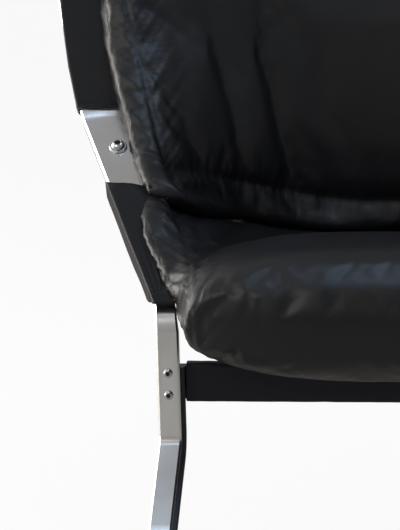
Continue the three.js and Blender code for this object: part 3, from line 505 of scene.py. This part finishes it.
AXIS_ROUNDS = 60
SCREW_SIDES = 48
BUTTON_CROWN = ((1.0, 0.12), (0.96, 0.36), (0.86, 0.60), (0.72, 0.80), (0.56, 0.94), (0.46, 1.0))
SOCKET_DEPTH_SHARE = 0.62
SOCKET_SHARE = 0.46


def screw_axis(node):
    """The middle of the tip, the direction and the points (height, radius) of a screw's CAD solid."""
    points = {tuple(round(value, 5) for value in vertex.co) for vertex in NODES[node].data.vertices}
    points = [Vector(point) for point in points]
    middle = sum(points, Vector()) / len(points)
    ahead = Vector((0.5, 0.6, 0.7))
    for _ in range(AXIS_ROUNDS):
        pulls = ((point - middle) * (point - middle).dot(ahead) for point in points)
        ahead = sum(pulls, Vector()).normalized()
    profile = []
    for point in points:
        height = (point - middle).dot(ahead)
        profile.append((height, (point - middle - ahead * height).length))
    if max(profile, key=lambda spot: spot[1])[0] < 0:
        ahead.negate()
        profile = [(-height, radius) for height, radius in profile]
    lowest = min(height for height, radius in profile)
    return middle + ahead * lowest, ahead, [(height - lowest, radius) for height, radius in profile]


def button_screw(node, name, across_flats):
    """A button-head screw with a crowned head and a six-sided socket, standing where its CAD solid is."""
    tip, ahead, profile = screw_axis(node)
    top = max(height for height, radius in profile)
    head = max(radius for height, radius in profile)
    seat = min(height for height, radius in profile if radius > 0.95 * head)
    shank = max(radius for height, radius in profile if height < 0.5 * seat)
    rise = top - seat
    rings = [(shank, 0), (shank, seat), (head, seat), *(
        (wide * head, seat + tall * rise) for wide, tall in BUTTON_CROWN)]
    deselect_all()
    bpy.ops.mesh.primitive_circle_add(vertices=SCREW_SIDES, radius=shank, fill_type="NGON")
    screw = bpy.context.object
    screw.name = name
    bpy.ops.object.mode_set(mode="EDIT")
    bpy.ops.mesh.select_all(action="SELECT")
    before = 0.0
    size = shank
    for radius, height in rings[1:]:
        bpy.ops.mesh.extrude_region_move(TRANSFORM_OT_translate={"value": (0, 0, height - before)})
        bpy.ops.transform.resize(value=(radius / size, radius / size, 1))
        before, size = height, radius
    rim = 0.5 * across_flats
    for share, drop in ((1.10, 0.0), (1.0, 0.06 * rise), (1.0, SOCKET_DEPTH_SHARE * rise)):
        bpy.ops.mesh.extrude_region_move(TRANSFORM_OT_translate={"value": (0, 0, top - drop - before)})
        bpy.ops.transform.resize(value=(share * rim / size, share * rim / size, 1))
        before, size = top - drop, share * rim
    bpy.ops.object.mode_set(mode="OBJECT")
    for vertex in screw.data.vertices:
        radius = vertex.co.xy.length
        if vertex.co.z > seat + 0.1 * rise and radius < 1.12 * rim:
            turn = math.atan2(vertex.co.y, vertex.co.x) % (math.pi / 3) - math.pi / 6
            vertex.co.xy *= 1 / math.cos(turn)
    screw.data.transform(Matrix.Translation(tip) @ ahead.to_track_quat("Z", "Y").to_matrix().to_4x4())
    edit_all(screw, lambda: bpy.ops.mesh.normals_make_consistent(inside=False))
    finish_piece(screw, fastener_steel(), "fastener_steel", node, angle=28)
    # The socket's inside takes the black paint: a painted shade in the recess.
    screw.data.materials.append(black_paint())
    for face in screw.data.polygons:
        offset = face.center - tip
        height = offset.dot(ahead)
        radius = (offset - ahead * height).length
        if seat + 0.1 * rise < height < top - 0.1 * rise and radius < rim:
            face.material_index = 1
    return screw


class FastenersOperator(bpy.types.Operator):
    """Gives the screws, washers and nuts their steel and the glides their rubber."""
    bl_idname = "chair.add_fasteners"
    bl_label = "Fasteners and glides"

    def execute(self, context):
        for node in NODES:
            if "screw" in node:
                head = 2 * max(radius for height, radius in screw_axis(node)[2])
                button_screw(node, f"{node}_piece", SOCKET_SHARE * head)
            if "washer" in node or "nut" in node:
                piece = node_copy(node, f"{node}_piece")
                finish_piece(piece, fastener_steel(), "fastener_steel", node, angle=40)
            if "glide" in node:
                piece = node_copy(node, f"{node}_piece")
                finish_piece(piece, glide_rubber(), "glide_rubber", node)
        return {"FINISHED"}


RIM_FACING = 0.75
RIM_ROUND = 0.7 * MM
CROSS_CUTS = 9
ROUND_COUNT = 900
STITCH_SHARE = 0.75
HEM_ROWS = (4.5 * MM, 7.5 * MM)
PLAIN_END = 1.5 * MM


class Run:
    """The straight line that a sleeve follows roughly, from its lower mouth to its upper one."""

    def __init__(self, node):
        mesh = NODES[node].data
        low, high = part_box(node)
        rough = Vector((0, high[1] - low[1], high[2] - low[2])).normalized()
        self.mouths = [self.mouth(mesh, sign * rough) for sign in (-1, 1)]

    def mouth(self, mesh, outward):
        """The middle and the outward direction of a mouth, from the faces of its rim."""
        faces = [face for face in mesh.polygons if face.normal.dot(outward) > RIM_FACING]
        area = sum(face.area for face in faces)
        middle = sum((face.center * face.area for face in faces), Vector()) / area
        direction = sum((face.normal * face.area for face in faces), Vector()).normalized()
        return middle, direction


def fine_sleeve(node):
    """A sleeve with rounded rims and enough faces for its creases and hems."""
    piece = node_copy(node, f"{node}_leather")
    apply_modifier(piece, "BEVEL", width=RIM_ROUND, segments=2, limit_method="ANGLE",
                   angle_limit=math.radians(60))
    bpy.ops.object.mode_set(mode="EDIT")
    bpy.ops.mesh.select_all(action="DESELECT")
    bpy.ops.object.mode_set(mode="OBJECT")
    points = [vertex.co for vertex in piece.data.vertices]
    for edge in piece.data.edges:
        way = points[edge.vertices[0]] - points[edge.vertices[1]]
        edge.select = abs(way.normalized().x) > 0.8 and way.length > 10 * MM
    bpy.ops.object.mode_set(mode="EDIT")
    bpy.ops.mesh.select_mode(type="EDGE")
    bpy.ops.mesh.subdivide(number_cuts=CROSS_CUTS)
    bpy.ops.object.mode_set(mode="OBJECT")
    apply_modifier(piece, "SUBSURF", levels=2, render_levels=2)
    return piece


def round_line(surface, middle, along, sideways):
    """The line where a plane across a sleeve meets its outside."""
    upright = along.cross(sideways)
    line = []
    for k in range(ROUND_COUNT):
        turn = math.tau * k / ROUND_COUNT
        way = sideways * math.cos(turn) + upright * math.sin(turn)
        spot, normal, _, distance = surface.ray_cast(middle + way * 0.2, -way, 0.2)
        if spot is not None:
            line.append((spot, normal))
    return line


def stitches(name, lines, material, slot):
    """Short rounded stitches, one after another along closed lines of points with their normals."""
    deselect_all()
    bpy.ops.mesh.primitive_uv_sphere_add(segments=6, ring_count=4, radius=1)
    stitch = bpy.context.object
    corners = [vertex.co.copy() for vertex in stitch.data.vertices]
    faces = [tuple(face.vertices) for face in stitch.data.polygons]
    bpy.data.objects.remove(stitch)
    points, polygons = [], []
    length, width = 0.5 * sizes().stitch_length * STITCH_SHARE, 0.5 * sizes().stitch_width
    for line in lines:
        travelled = 0.0
        for (here, normal), (there, _) in zip(line, line[1:] + line[:1]):
            step = there - here
            travelled += step.length
            if travelled < sizes().stitch_length or step.length == 0:
                continue
            travelled = 0.0
            ahead = step.normalized()
            beside = normal.cross(ahead)
            first = len(points)
            points += [here + ahead * (corner.x * length) + beside * (corner.y * width)
                       + normal * (corner.z * width) for corner in corners]
            polygons += [tuple(first + k for k in face) for face in faces]
    mesh = bpy.data.meshes.new(name)
    mesh.from_pydata(points, [], polygons)
    mesh.update()
    return finish_piece(new_object(name, mesh), material, slot, angle=80)


class SleevesOperator(bpy.types.Operator):
    """Makes the leather sleeves round the rails and the crossbar."""
    bl_idname = "chair.add_sleeves"
    bl_label = "Leather sleeves"

    def execute(self, context):
        for side in SIDES:
            self.add_sleeve(f"seat_sleeve_{side}", 1, gape=4 * MM, sag=7 * MM)
            self.add_sleeve(f"back_sleeve_{side}", 0, gape=1 * MM, sag=1.5 * MM)
        cover = fine_sleeve("crossbar_cover")
        relief(cover, lambda point, normal: 0.35 * MM * wave(point.z + 0.25 * point.y, 9 * MM, 40 * point.x))
        store(cover, "hem", [100.0] * len(cover.data.vertices))
        finish_piece(cover, crossbar_leather(), "sleeve_leather", "crossbar_cover", angle=50)
        return {"FINISHED"}

    def add_sleeve(self, node, open_end, gape, sag):
        """A sleeve whose front wall stands a little off the rail at its open end."""
        piece = fine_sleeve(node)
        mouths = Run(node).mouths
        middle, outward = mouths[open_end]
        along = (mouths[1][0] - mouths[0][0]).normalized()
        sideways = Vector((1, 0, 0)) - along * along.x
        sideways.normalize()
        front = along.cross(sideways)
        if front.y > 0:
            front.negate()
        half = max(abs((vertex.co - middle).dot(sideways)) for vertex in piece.data.vertices
                   if (middle - vertex.co).dot(outward) < 4 * MM)
        moves = []
        for vertex in piece.data.vertices:
            offset = vertex.co - middle
            depth = -offset.dot(outward)
            outer = offset.dot(sideways) / half * (1 if middle.x > 0 else -1)
            raised = max(0.0, 1 - ((outer - 0.35) / 0.7) ** 2)
            lowered = max(0.0, 1 - outer ** 4)
            facing = min(1.0, max(0.0, offset.dot(front) / (6 * MM)))
            ease = falloff(depth, 18 * MM)
            moves.append((front * gape * raised - outward * sag * lowered) * (facing * ease))
        for vertex, move in zip(piece.data.vertices, moves):
            vertex.co = vertex.co + move
        seed = 1.0 + sum(map(ord, node)) % 17

        def shape(point, normal):
            ends = [(point - mouth).dot(-way) for mouth, way in mouths]
            slack = falloff(ends[0], 60 * MM) + 0.35
            place = (point - mouths[0][0]).dot(along) + 0.18 * point.x
            folds = 0.45 * MM * wave(place, 15 * MM, seed + 14 * point.x) * slack
            return folds + 0.7 * MM * swell(point, 45 * MM, seed)

        relief(piece, shape)
        near, far = mouths[open_end], mouths[1 - open_end]
        depths = []
        for vertex in piece.data.vertices:
            far_depth = max(PLAIN_END, (far[0] - vertex.co).dot(far[1]))
            depths.append(min((near[0] - vertex.co).dot(near[1]), far_depth) / MM)
        store(piece, "hem", depths)
        finish_piece(piece, sleeve_leather(), "sleeve_leather", node, angle=50)
        surface = surface_of(piece)
        lines = [round_line(surface, mouth - way * row, along, sideways)
                 for mouth, way in mouths for row in HEM_ROWS]
        stitches(f"{node}_stitches", lines, sewing_thread(), "sleeve_leather")


class SlingsOperator(bpy.types.Operator):
    """Makes the leather slings that carry the cushions."""
    bl_idname = "chair.add_slings"
    bl_label = "Slings"

    def execute(self, context):
        for node in ("seat_sling", "back_sling"):
            piece = node_copy(node, f"{node}_leather")
            apply_modifier(piece, "SUBSURF", levels=1, render_levels=1)
            relief(piece, lambda point, normal: 0.5 * MM * swell(point, 60 * MM, 4.0))
            store(piece, "hem", [100.0] * len(piece.data.vertices))
            finish_piece(piece, sleeve_leather(), "sling_leather", node, angle=60)
        return {"FINISHED"}


def mirrored(line):
    return [(-x, y, z) for x, y, z in line]


def smooth_line(points, step, closed=False):
    """Points about one step apart on a Catmull-Rom curve through the given points."""
    corners = [Vector(point) for point in points]
    count = len(corners)
    result = []
    for k in range(count if closed else count - 1):
        if closed:
            a, b, c, d = (corners[(k + i) % count] for i in (-1, 0, 1, 2))
        else:
            a, b, c, d = (corners[min(max(k + i, 0), count - 1)] for i in (-1, 0, 1, 2))
        pieces = max(1, round((c - b).length / step))
        for i in range(pieces):
            t = i / pieces
            result.append(0.5 * ((2 * b) + (c - a) * t + (2 * a - 5 * b + 4 * c - d) * t * t
                                 + (3 * b - a - 3 * c + d) * t ** 3))
    if not closed:
        result.append(corners[-1])
    return result


class Seam:
    """A sewn line on a cushion: finds how far a point is from it, and where along it."""

    def __init__(self, points, closed=False):
        self.points = smooth_line(points, 1.5 * MM, closed)
        self.tree = KDTree(len(self.points))
        self.along = [0.0]
        for k, point in enumerate(self.points):
            self.tree.insert(point, k)
            if k:
                self.along.append(self.along[-1] + (point - self.points[k - 1]).length)
        self.tree.balance()

    def near(self, point):
        _, index, distance = self.tree.find(point)
        return distance, self.along[index]


SEAT_SIDE_SEAM = (
    (-0.2591, -0.0751, 0.4451), (-0.2470, -0.0991, 0.4378), (-0.2314, -0.1433, 0.4200),
    (-0.2218, -0.1901, 0.4032), (-0.2195, -0.2364, 0.3937), (-0.2161, -0.2739, 0.3825),
    (-0.2132, -0.2914, 0.3706), (-0.2123, -0.2862, 0.3433), (-0.2134, -0.2720, 0.3193),
    (-0.2188, -0.2514, 0.3219), (-0.2319, -0.2168, 0.3390), (-0.2514, -0.1811, 0.3663),
    (-0.2675, -0.1411, 0.3895), (-0.2809, -0.0986, 0.4104), (-0.2852, -0.0748, 0.4243),
    (-0.2740, -0.0695, 0.4372),
)
BACK_SIDE_SEAM = (
    (-0.3232, 0.1795, 0.9559), (-0.3217, 0.1506, 0.8944), (-0.3216, 0.0995, 0.7732),
    (-0.3106, 0.0482, 0.6588), (-0.2852, 0.0019, 0.5669), (-0.2664, -0.0339, 0.5035),
    (-0.2563, -0.0577, 0.4688), (-0.2551, -0.0689, 0.4512), (-0.2673, -0.0696, 0.4407),
    (-0.2820, -0.0639, 0.4380), (-0.2908, -0.0495, 0.4497), (-0.3024, -0.0192, 0.4821),
    (-0.3191, 0.0227, 0.5450), (-0.3426, 0.0743, 0.6398), (-0.3513, 0.1298, 0.7602),
    (-0.3468, 0.1800, 0.8832), (-0.3413, 0.2023, 0.9470), (-0.3320, 0.1969, 0.9659),
)
HALF_CREASE = (
    (-0.2650, -0.0617, 0.4782), (-0.2331, -0.0153, 0.4663), (-0.1833, 0.0489, 0.4452),
    (-0.1177, 0.1021, 0.4223), (-0.0637, 0.1185, 0.4125), (0.0, 0.1211, 0.4110),
)
HALF_HEAD_CHANNEL = (
    (-0.3289, 0.1159, 0.8181), (-0.2959, 0.1320, 0.8219), (-0.2427, 0.1565, 0.8263),
    (-0.1628, 0.1789, 0.8301), (-0.0840, 0.1870, 0.8313), (0.0, 0.1880, 0.8315),
)
BACK_ROLL = (
    (-0.3340, 0.1900, 0.9400), (-0.3425, 0.1640, 0.8700), (-0.3450, 0.1150, 0.7550),
    (-0.3332, 0.0654, 0.6424), (-0.3231, 0.0416, 0.5916), (-0.3097, 0.0179, 0.5411),
    (-0.2940, -0.0260, 0.5035), (-0.2840, -0.0575, 0.4820), (-0.2770, -0.0745, 0.4720),
    (-0.2705, -0.0895, 0.4625), (-0.2600, -0.0930, 0.4545), (-0.2480, -0.0800, 0.4455),
    (-0.2330, -0.0560, 0.4345), (-0.2190, -0.0130, 0.4235), (-0.2050, 0.0330, 0.4140),
    (-0.1880, 0.0580, 0.4080), (-0.1650, 0.0740, 0.4030), (-0.1218, 0.1040, 0.3940),
    (-0.0660, 0.1240, 0.3870), (-0.0150, 0.1280, 0.3880),
)
SEAT_ROLL = (
    (-0.2700, -0.0880, 0.4530), (-0.2720, -0.0990, 0.4460), (-0.2715, -0.1130, 0.4400),
    (-0.2692, -0.1290, 0.4320), (-0.2639, -0.1506, 0.4153), (-0.2532, -0.1726, 0.3999),
    (-0.2432, -0.1938, 0.3845), (-0.2317, -0.2188, 0.3670), (-0.2279, -0.2218, 0.3473),
)
ROLL_RADIUS = 10 * MM
ROLL_INSET = 15 * MM
ROLL_END_SHARE = 0.45
ROLL_TAPER_POINTS = 5


def edge_roll(piece, half_line):
    """Adds the stuffed rolls along both sides, which lie over the rails, to a cushion's mesh."""
    inner_line = [(x + ROLL_INSET, y, z) for x, y, z in half_line]
    for line in (half_line, inner_line, mirrored(half_line), mirrored(inner_line)):
        points = smooth_line(line, 8 * MM)
        data = bpy.data.curves.new("roll", "CURVE")
        data.dimensions = "3D"
        data.bevel_depth = ROLL_RADIUS
        data.bevel_resolution = 4
        data.use_fill_caps = True
        spline = data.splines.new("POLY")
        spline.points.add(len(points) - 1)
        for k, (spot, point) in enumerate(zip(spline.points, points)):
            spot.co = (*point, 1)
            end = min(k, len(points) - 1 - k) / ROLL_TAPER_POINTS
            spot.radius = min(1.0, ROLL_END_SHARE + (1 - ROLL_END_SHARE) * end)
        make_active(new_object("roll", data))
        bpy.ops.object.convert(target="MESH")
        join_selected(piece)


FILL_STEP = 22 * MM
FILL_REACH = 75 * MM
SEAT_FILL_DEPTH = 60 * MM
BACK_FILL_DEPTH = 6 * MM
BACK_SIDE_POINTS = 10
FILL_HALF = 0.5 * ROLL_RADIUS


def side_fill(piece, half_line, depth):
    """Fills the hollow between a cushion's rolls and its body with convex hulls, in short overlapping
    lengths. They take no account of what lies beside the cushion."""
    body = [vertex.co.copy() for vertex in piece.data.vertices]
    points = smooth_line(half_line, FILL_STEP)
    for first, last in zip(points, points[1:]):
        along = (last - first).normalized()
        outward = along.cross(Vector((1, 0, 0))).normalized()
        outward = -outward if outward.y > 0 else outward
        for side in (1, -1):
            start = Vector((side * first.x, first.y, first.z))
            end = Vector((side * last.x, last.y, last.z))
            corners = [spot + outward * lift for spot in (start, end) for lift in (-FILL_HALF, FILL_HALF)]
            for point in body:
                place = (point - start).dot(along)
                above = (point - start).dot(outward)
                inside = abs(first.x) - side * -point.x
                beside = -0.2 * FILL_STEP < place < 1.2 * FILL_STEP
                if beside and above > -depth and 0 < inside < FILL_REACH:
                    corners.append(point)
            if len(corners) < 8:
                continue
            data = bpy.data.meshes.new("fill")
            data.from_pydata([tuple(corner) for corner in corners], [], [])
            edit_all(new_object("fill", data), bpy.ops.mesh.convex_hull)
            join_selected(piece)


def across(half_line):
    """A line from the left side to the right, from its left half."""
    return [*half_line, *reversed(mirrored(half_line[:-1]))]


SLEEVES = ("seat_sleeve", "back_sleeve")
HARD_NEIGHBOURS = ("side_rail", "base_spring", "crossbar_cover", "head_crossbar", "seat_sling", "back_sling")
HARD_SHARE = 0.8
SOFT_SHARE = 0.45
CLOTH = {
    "quality": 3, "mass": 0.3, "tension_stiffness": 25, "compression_stiffness": 8, "shear_stiffness": 5,
    "bending_stiffness": 0.6, "shrink_min": -0.012, "use_pressure": True, "uniform_pressure_force": 4,
}
FLAP_FILL = 3 * MM
CUSHION_SLACK = 1 * MM
SWELL_FRAMES = 14
PRESS_REACH = 12 * MM
PRESS_CLEAR = 0.7 * MM
SEWN_WIDTH = 4 * MM


class Neighbours:
    """What a cushion lies against, and the share of the gap to each piece that it may swell into."""

    def __init__(self, shares):
        self.surfaces = [(surface_of(NODES[node]), share) for node, share in shares.items()]

    def room(self, point, reach):
        found = [reach]
        for surface, share in self.surfaces:
            distance = surface.find_nearest(point, 3 * reach)[3]
            if distance is not None:
                found.append(share * distance)
        return min(found)


def cushion_neighbours(other):
    shares = {node: HARD_SHARE for node in NODES if node.startswith((*SLEEVES, *HARD_NEIGHBOURS))}
    shares[other] = SOFT_SHARE
    return Neighbours(shares)


def outer_skin(node):
    """The outside of a sleeve, as if it were a solid bar."""
    mesh = NODES[node].data
    (first, _), (last, _) = Run(node).mouths
    along = (last - first).normalized()
    faces = []
    for face in mesh.polygons:
        offset = face.center - first
        away = face.normal.dot(offset - along * offset.dot(along)) > 0
        if away and abs(face.normal.dot(along)) < RIM_FACING:
            faces.append(tuple(face.vertices))
    return BVHTree.FromPolygons([vertex.co for vertex in mesh.vertices], faces)


def press_out(piece, surfaces):
    """Moves points that have sunk a little into a neighbour back to its surface. Deeper ones stay."""
    for surface in surfaces:
        for vertex in piece.data.vertices:
            spot, normal, _, distance = surface.find_nearest(vertex.co, PRESS_REACH)
            if spot is None or distance == 0:
                continue
            height = (vertex.co - spot).dot(normal)
            if height < PRESS_CLEAR and abs(height) > 0.7 * distance:
                vertex.co = spot + normal * PRESS_CLEAR


def pressing_surfaces():
    hard = [surface_of(NODES[node]) for node in NODES if node.startswith(HARD_NEIGHBOURS)]
    return hard + [outer_skin(node) for node in NODES if node.startswith(SLEEVES)]


def inflate(piece, cell, reach, seams, neighbours):
    """Swells a cushion by cloth simulation with its sewn lines held, then rounds its cells off. It is
    remeshed a little fatter than it is, so that its thin flaps over the rails stay whole."""
    apply_modifier(piece, "DISPLACE", strength=FLAP_FILL, mid_level=0.0)
    apply_modifier(piece, "REMESH", mode="VOXEL", voxel_size=cell)
    keep_largest(piece)
    apply_modifier(piece, "SMOOTH", iterations=8, factor=0.5)
    apply_modifier(piece, "DISPLACE", strength=-CUSHION_SLACK - FLAP_FILL, mid_level=0.0)
    start = [vertex.co.copy() for vertex in piece.data.vertices]
    group = piece.vertex_groups.new(name="sewn")
    held = [k for k, point in enumerate(start)
            if min(seam.near(point)[0] for seam in seams) < SEWN_WIDTH]
    group.add(held, 1.0, "REPLACE")
    make_active(piece)
    cloth = piece.modifiers.new("Cloth", "CLOTH")
    for key, value in CLOTH.items():
        setattr(cloth.settings, key, value)
    cloth.settings.effector_weights.gravity = 0
    cloth.settings.vertex_group_mass = "sewn"
    cloth.collision_settings.use_collision = False
    cloth.point_cache.frame_start = 1
    cloth.point_cache.frame_end = SWELL_FRAMES
    for moment in range(1, SWELL_FRAMES + 1):
        bpy.context.scene.frame_set(moment)
    bpy.ops.object.modifier_apply(modifier=cloth.name)
    bpy.context.scene.frame_set(1)
    for vertex, before in zip(piece.data.vertices, start):
        move = vertex.co - before
        limit = neighbours.room(before, reach)
        if move.length > 0:
            vertex.co = before + move * (limit * math.tanh(move.length / limit) / move.length)
    apply_modifier(piece, "SUBSURF", levels=1, render_levels=1)


def store_seams(piece, seams, other):
    """Keeps for every point, in millimetres, how far the nearest sewn line is and where along it the
    point lies, and how close the other cushion presses, from 0 to 1."""
    near = [min(seam.near(vertex.co) for seam in seams) for vertex in piece.data.vertices]
    pressed = surface_of(NODES[other])
    gaps = [pressed.find_nearest(vertex.co, 0.2)[3] for vertex in piece.data.vertices]
    store(piece, "seam", [distance / MM for distance, place in near])
    store(piece, "run", [place / MM for distance, place in near])
    store(piece, "press", [0.0 if gap is None else falloff(gap, 45 * MM) for gap in gaps])


# Folds at the side seams: lean along the seam, pitch, seed and height
SEAT_FOLDS = ((1.5, 12 * MM, 1.0, 0.5), (1.2, 23 * MM, 4.0, 0.8))
BACK_FOLDS = ((1.2, 15 * MM, 2.0, 0.35), (0.9, 29 * MM, 5.0, 0.6))
SEAM_DEPTH = 1.6 * MM
CREASE_DEPTH = 2.2 * MM
SWELL_REACH = 6 * MM


def side_folds(point, seams, folds, width):
    """How far the leather stands out near the side seams: gathered folds, and a groove at the seam."""
    distance, place = min(seam.near(point) for seam in seams)
    total = 0.0
    for lean, pitch, seed, height in folds:
        total += wave(place + lean * distance, pitch, seed) * height * MM
    gathered = falloff(distance, width) * (1 - falloff(distance, 5 * MM))
    return total * gathered - SEAM_DEPTH * falloff(distance, 3.5 * MM)


class CushionsOperator(bpy.types.Operator):
    """Makes the padded seat and back cushions."""
    bl_idname = "chair.add_cushions"
    bl_label = "Cushions"

    def execute(self, context):
        self.add_seat()
        self.add_back()
        return {"FINISHED"}

    def add_cushion(self, node, other, cell, roll, fill, seams, shape, soft_neighbours):
        """A cushion with its rolls, swelled, creased and pressed off what it lies against."""
        piece = node_copy(node, f"{node}_leather")
        side_fill(piece, *fill)
        edge_roll(piece, roll)
        inflate(piece, cell, SWELL_REACH, seams, cushion_neighbours(other))
        relief(piece, shape)
        press_out(piece, [*pressing_surfaces(), *soft_neighbours])
        store_seams(piece, seams, other)
        finish_piece(piece, cushion_leather(), "cushion_leather", node, angle=180)

    def add_seat(self):
        sides = [Seam(SEAT_SIDE_SEAM, closed=True), Seam(mirrored(SEAT_SIDE_SEAM), closed=True)]

        def shape(point, normal):
            return side_folds(point, sides, SEAT_FOLDS, 40 * MM) + 1.0 * MM * swell(point, 90 * MM, 3.0)

        self.add_cushion("seat_cushion", "back_cushion", sizes().cushion_cell, SEAT_ROLL,
                         (SEAT_ROLL, SEAT_FILL_DEPTH), sides, shape, [])

    def add_back(self):
        sides = [Seam(BACK_SIDE_SEAM, closed=True), Seam(mirrored(BACK_SIDE_SEAM), closed=True)]
        lines = [Seam(across(HALF_CREASE)), Seam(across(HALF_HEAD_CHANNEL))]

        def shape(point, normal):
            height = side_folds(point, sides, BACK_FOLDS, 36 * MM)
            for seam in lines:
                distance, place = seam.near(point)
                puckers = wave(place, 14 * MM, 9.0) * 0.35 * MM * falloff(distance, 20 * MM)
                height += puckers - CREASE_DEPTH * falloff(distance, 5 * MM)
            return height + 1.2 * MM * swell(point, 120 * MM, 8.0)

        self.add_cushion("back_cushion", "seat_cushion", 1.1 * sizes().cushion_cell, BACK_ROLL,
                         (BACK_ROLL[:BACK_SIDE_POINTS], BACK_FILL_DEPTH), [*sides, *lines], shape,
                         [surface_of(bpy.data.objects["seat_cushion_leather"])])


# Stage

def add_lamp(name, place, target, power, size, colour):
    data = bpy.data.lights.new(name, "AREA")
    data.energy = power
    data.color = colour
    data.shape = "RECTANGLE"
    data.size, data.size_y = size
    lamp = new_object(name, data)
    lamp.location = place
    lamp.rotation_euler = (Vector(target) - Vector(place)).to_track_quat("-Z", "Y").to_euler()


ROOM_LIGHT = 0.29
WALL_LIGHT = 1.0
WALL_START = 0.2
WALL_FULL = 0.75
WALL_SIDE = (-0.95, 0.31, 0.0)
WHITE_SHARE = 0.9
SHOWN_FLOOR = (0.9, 0.9, 0.9)


class StageOperator(bpy.types.Operator):
    """Sets up the camera, the white surroundings, the floor and the studio lamps."""
    bl_idname = "chair.add_stage"
    bl_label = "Stage"

    def execute(self, context):
        view = context.scene.chair_camera
        data = bpy.data.cameras.new("camera")
        data.lens = SENSOR * view.focal_pixels / PHOTO_HEIGHT
        data.sensor_width = SENSOR
        data.clip_end = 50
        camera = new_object("camera", data)
        turn = Matrix.Rotation(view.yaw, 4, "Z") @ Matrix.Rotation(math.pi / 2 - view.pitch, 4, "X")
        camera.matrix_world = (Matrix.Translation((view.across, LEG_Y - view.distance, view.height))
                               @ turn @ Matrix.Rotation(view.roll, 4, "Z"))
        context.scene.camera = camera
        context.scene.view_settings.view_transform = "Standard"
        self.add_world(context)
        self.add_floor()
        add_lamp("overhead", (0.5, -0.6, 2.6), (0.1, 0.0, 0.4), 18, (1.8, 1.0), (0.55, 0.74, 1.0))
        add_lamp("key", (-1.7, -2.6, 2.3), (0, 0, 0.5), 18, (1.6, 1.4), (1.0, 0.98, 0.95))
        add_lamp("rim", (-2.6, 0.5, 0.8), (-0.2, 0, 0.5), 60, (1.4, 2.0), (1.0, 0.96, 0.90))
        return {"FINISHED"}

    def add_world(self, context):
        """A white wall behind the chair, which dims towards the room in front of it."""
        world = bpy.data.worlds.new("studio")
        context.scene.world = world
        world.use_nodes = True
        tree = world.node_tree
        background = tree.nodes["Background"]
        rays = tree.nodes.new("ShaderNodeLightPath")
        where = tree.nodes.new("ShaderNodeTexCoord")
        turned = tree.nodes.new("ShaderNodeVectorMath")
        turned.operation = "DOT_PRODUCT"
        turned.inputs[1].default_value = WALL_SIDE
        shade = tree.nodes.new("ShaderNodeMapRange")
        shade.inputs["From Min"].default_value = WALL_START
        shade.inputs["From Max"].default_value = WALL_FULL
        shade.inputs["To Min"].default_value = ROOM_LIGHT
        shade.inputs["To Max"].default_value = WALL_LIGHT
        shown = tree.nodes.new("ShaderNodeMix")
        shown.inputs[3].default_value = 1.0
        tree.links.new(where.outputs["Generated"], turned.inputs[0])
        tree.links.new(turned.outputs["Value"], shade.inputs["Value"])
        tree.links.new(rays.outputs["Is Camera Ray"], shown.inputs[0])
        tree.links.new(shade.outputs[0], shown.inputs[2])
        tree.links.new(shown.outputs[0], background.inputs["Strength"])
        background.inputs["Color"].default_value = (1, 1, 1, 1)

    def add_floor(self):
        """A pale floor that looks nearly white to the camera and keeps some of the chair's shadow."""
        deselect_all()
        bpy.ops.mesh.primitive_plane_add(size=14, location=(0, 0, -0.5 * MM))
        floor = bpy.context.object
        floor.name = "floor"
        bpy.ops.object.transform_apply(location=True)
        finish = Finish("studio_floor")
        rays = finish.node("ShaderNodeLightPath", output=0)
        glow = finish.node("ShaderNodeEmission", Strength=1.0)
        finish.set("Base Color", finish.blend(rays, tuple(colours().floor), SHOWN_FLOOR))
        finish.set("Roughness", 0.75)
        mixer = finish.tree.nodes.new("ShaderNodeMixShader")
        finish.feed(mixer.inputs[0], rays * WHITE_SHARE)
        finish.tree.links.new(finish.shader.outputs[0], mixer.inputs[1])
        finish.tree.links.new(glow.socket, mixer.inputs[2])
        finish.tree.links.new(mixer.outputs[0], finish.output.inputs["Surface"])
        paint(floor, finish.material)


class ChairPanel(bpy.types.Panel):
    """Lists the sizes, colours and pieces of the chair."""
    bl_idname = "VIEW3D_PT_chair"
    bl_label = "Lounge chair"
    bl_space_type = "VIEW_3D"
    bl_region_type = "UI"
    bl_category = "Chair"

    def draw(self, context):
        layout = self.layout
        for group in (context.scene.chair_sizes, context.scene.chair_colours, context.scene.chair_camera):
            for key in group.__annotations__:
                layout.prop(group, key)
        for operator in OPERATORS:
            layout.operator(operator.bl_idname)


OPERATORS = (StageOperator, BarsOperator, DarkBarsOperator, FastenersOperator, SleevesOperator,
             SlingsOperator, CushionsOperator)
GROUPS = (ChairSizes, ChairColours, ChairCamera)


def register():
    for kind in (*GROUPS, *OPERATORS, ChairPanel):
        bpy.utils.register_class(kind)
    bpy.types.Scene.chair_sizes = bpy.props.PointerProperty(type=ChairSizes)
    bpy.types.Scene.chair_colours = bpy.props.PointerProperty(type=ChairColours)
    bpy.types.Scene.chair_camera = bpy.props.PointerProperty(type=ChairCamera)


def unregister():
    for name in ("chair_sizes", "chair_colours", "chair_camera"):
        delattr(bpy.types.Scene, name)
    for kind in reversed((*GROUPS, *OPERATORS, ChairPanel)):
        bpy.utils.unregister_class(kind)


def main():
    register()
    for operator in OPERATORS:
        group, name = operator.bl_idname.split(".")
        getattr(getattr(bpy.ops, group), name)()


if __name__ == "__main__":
    main()
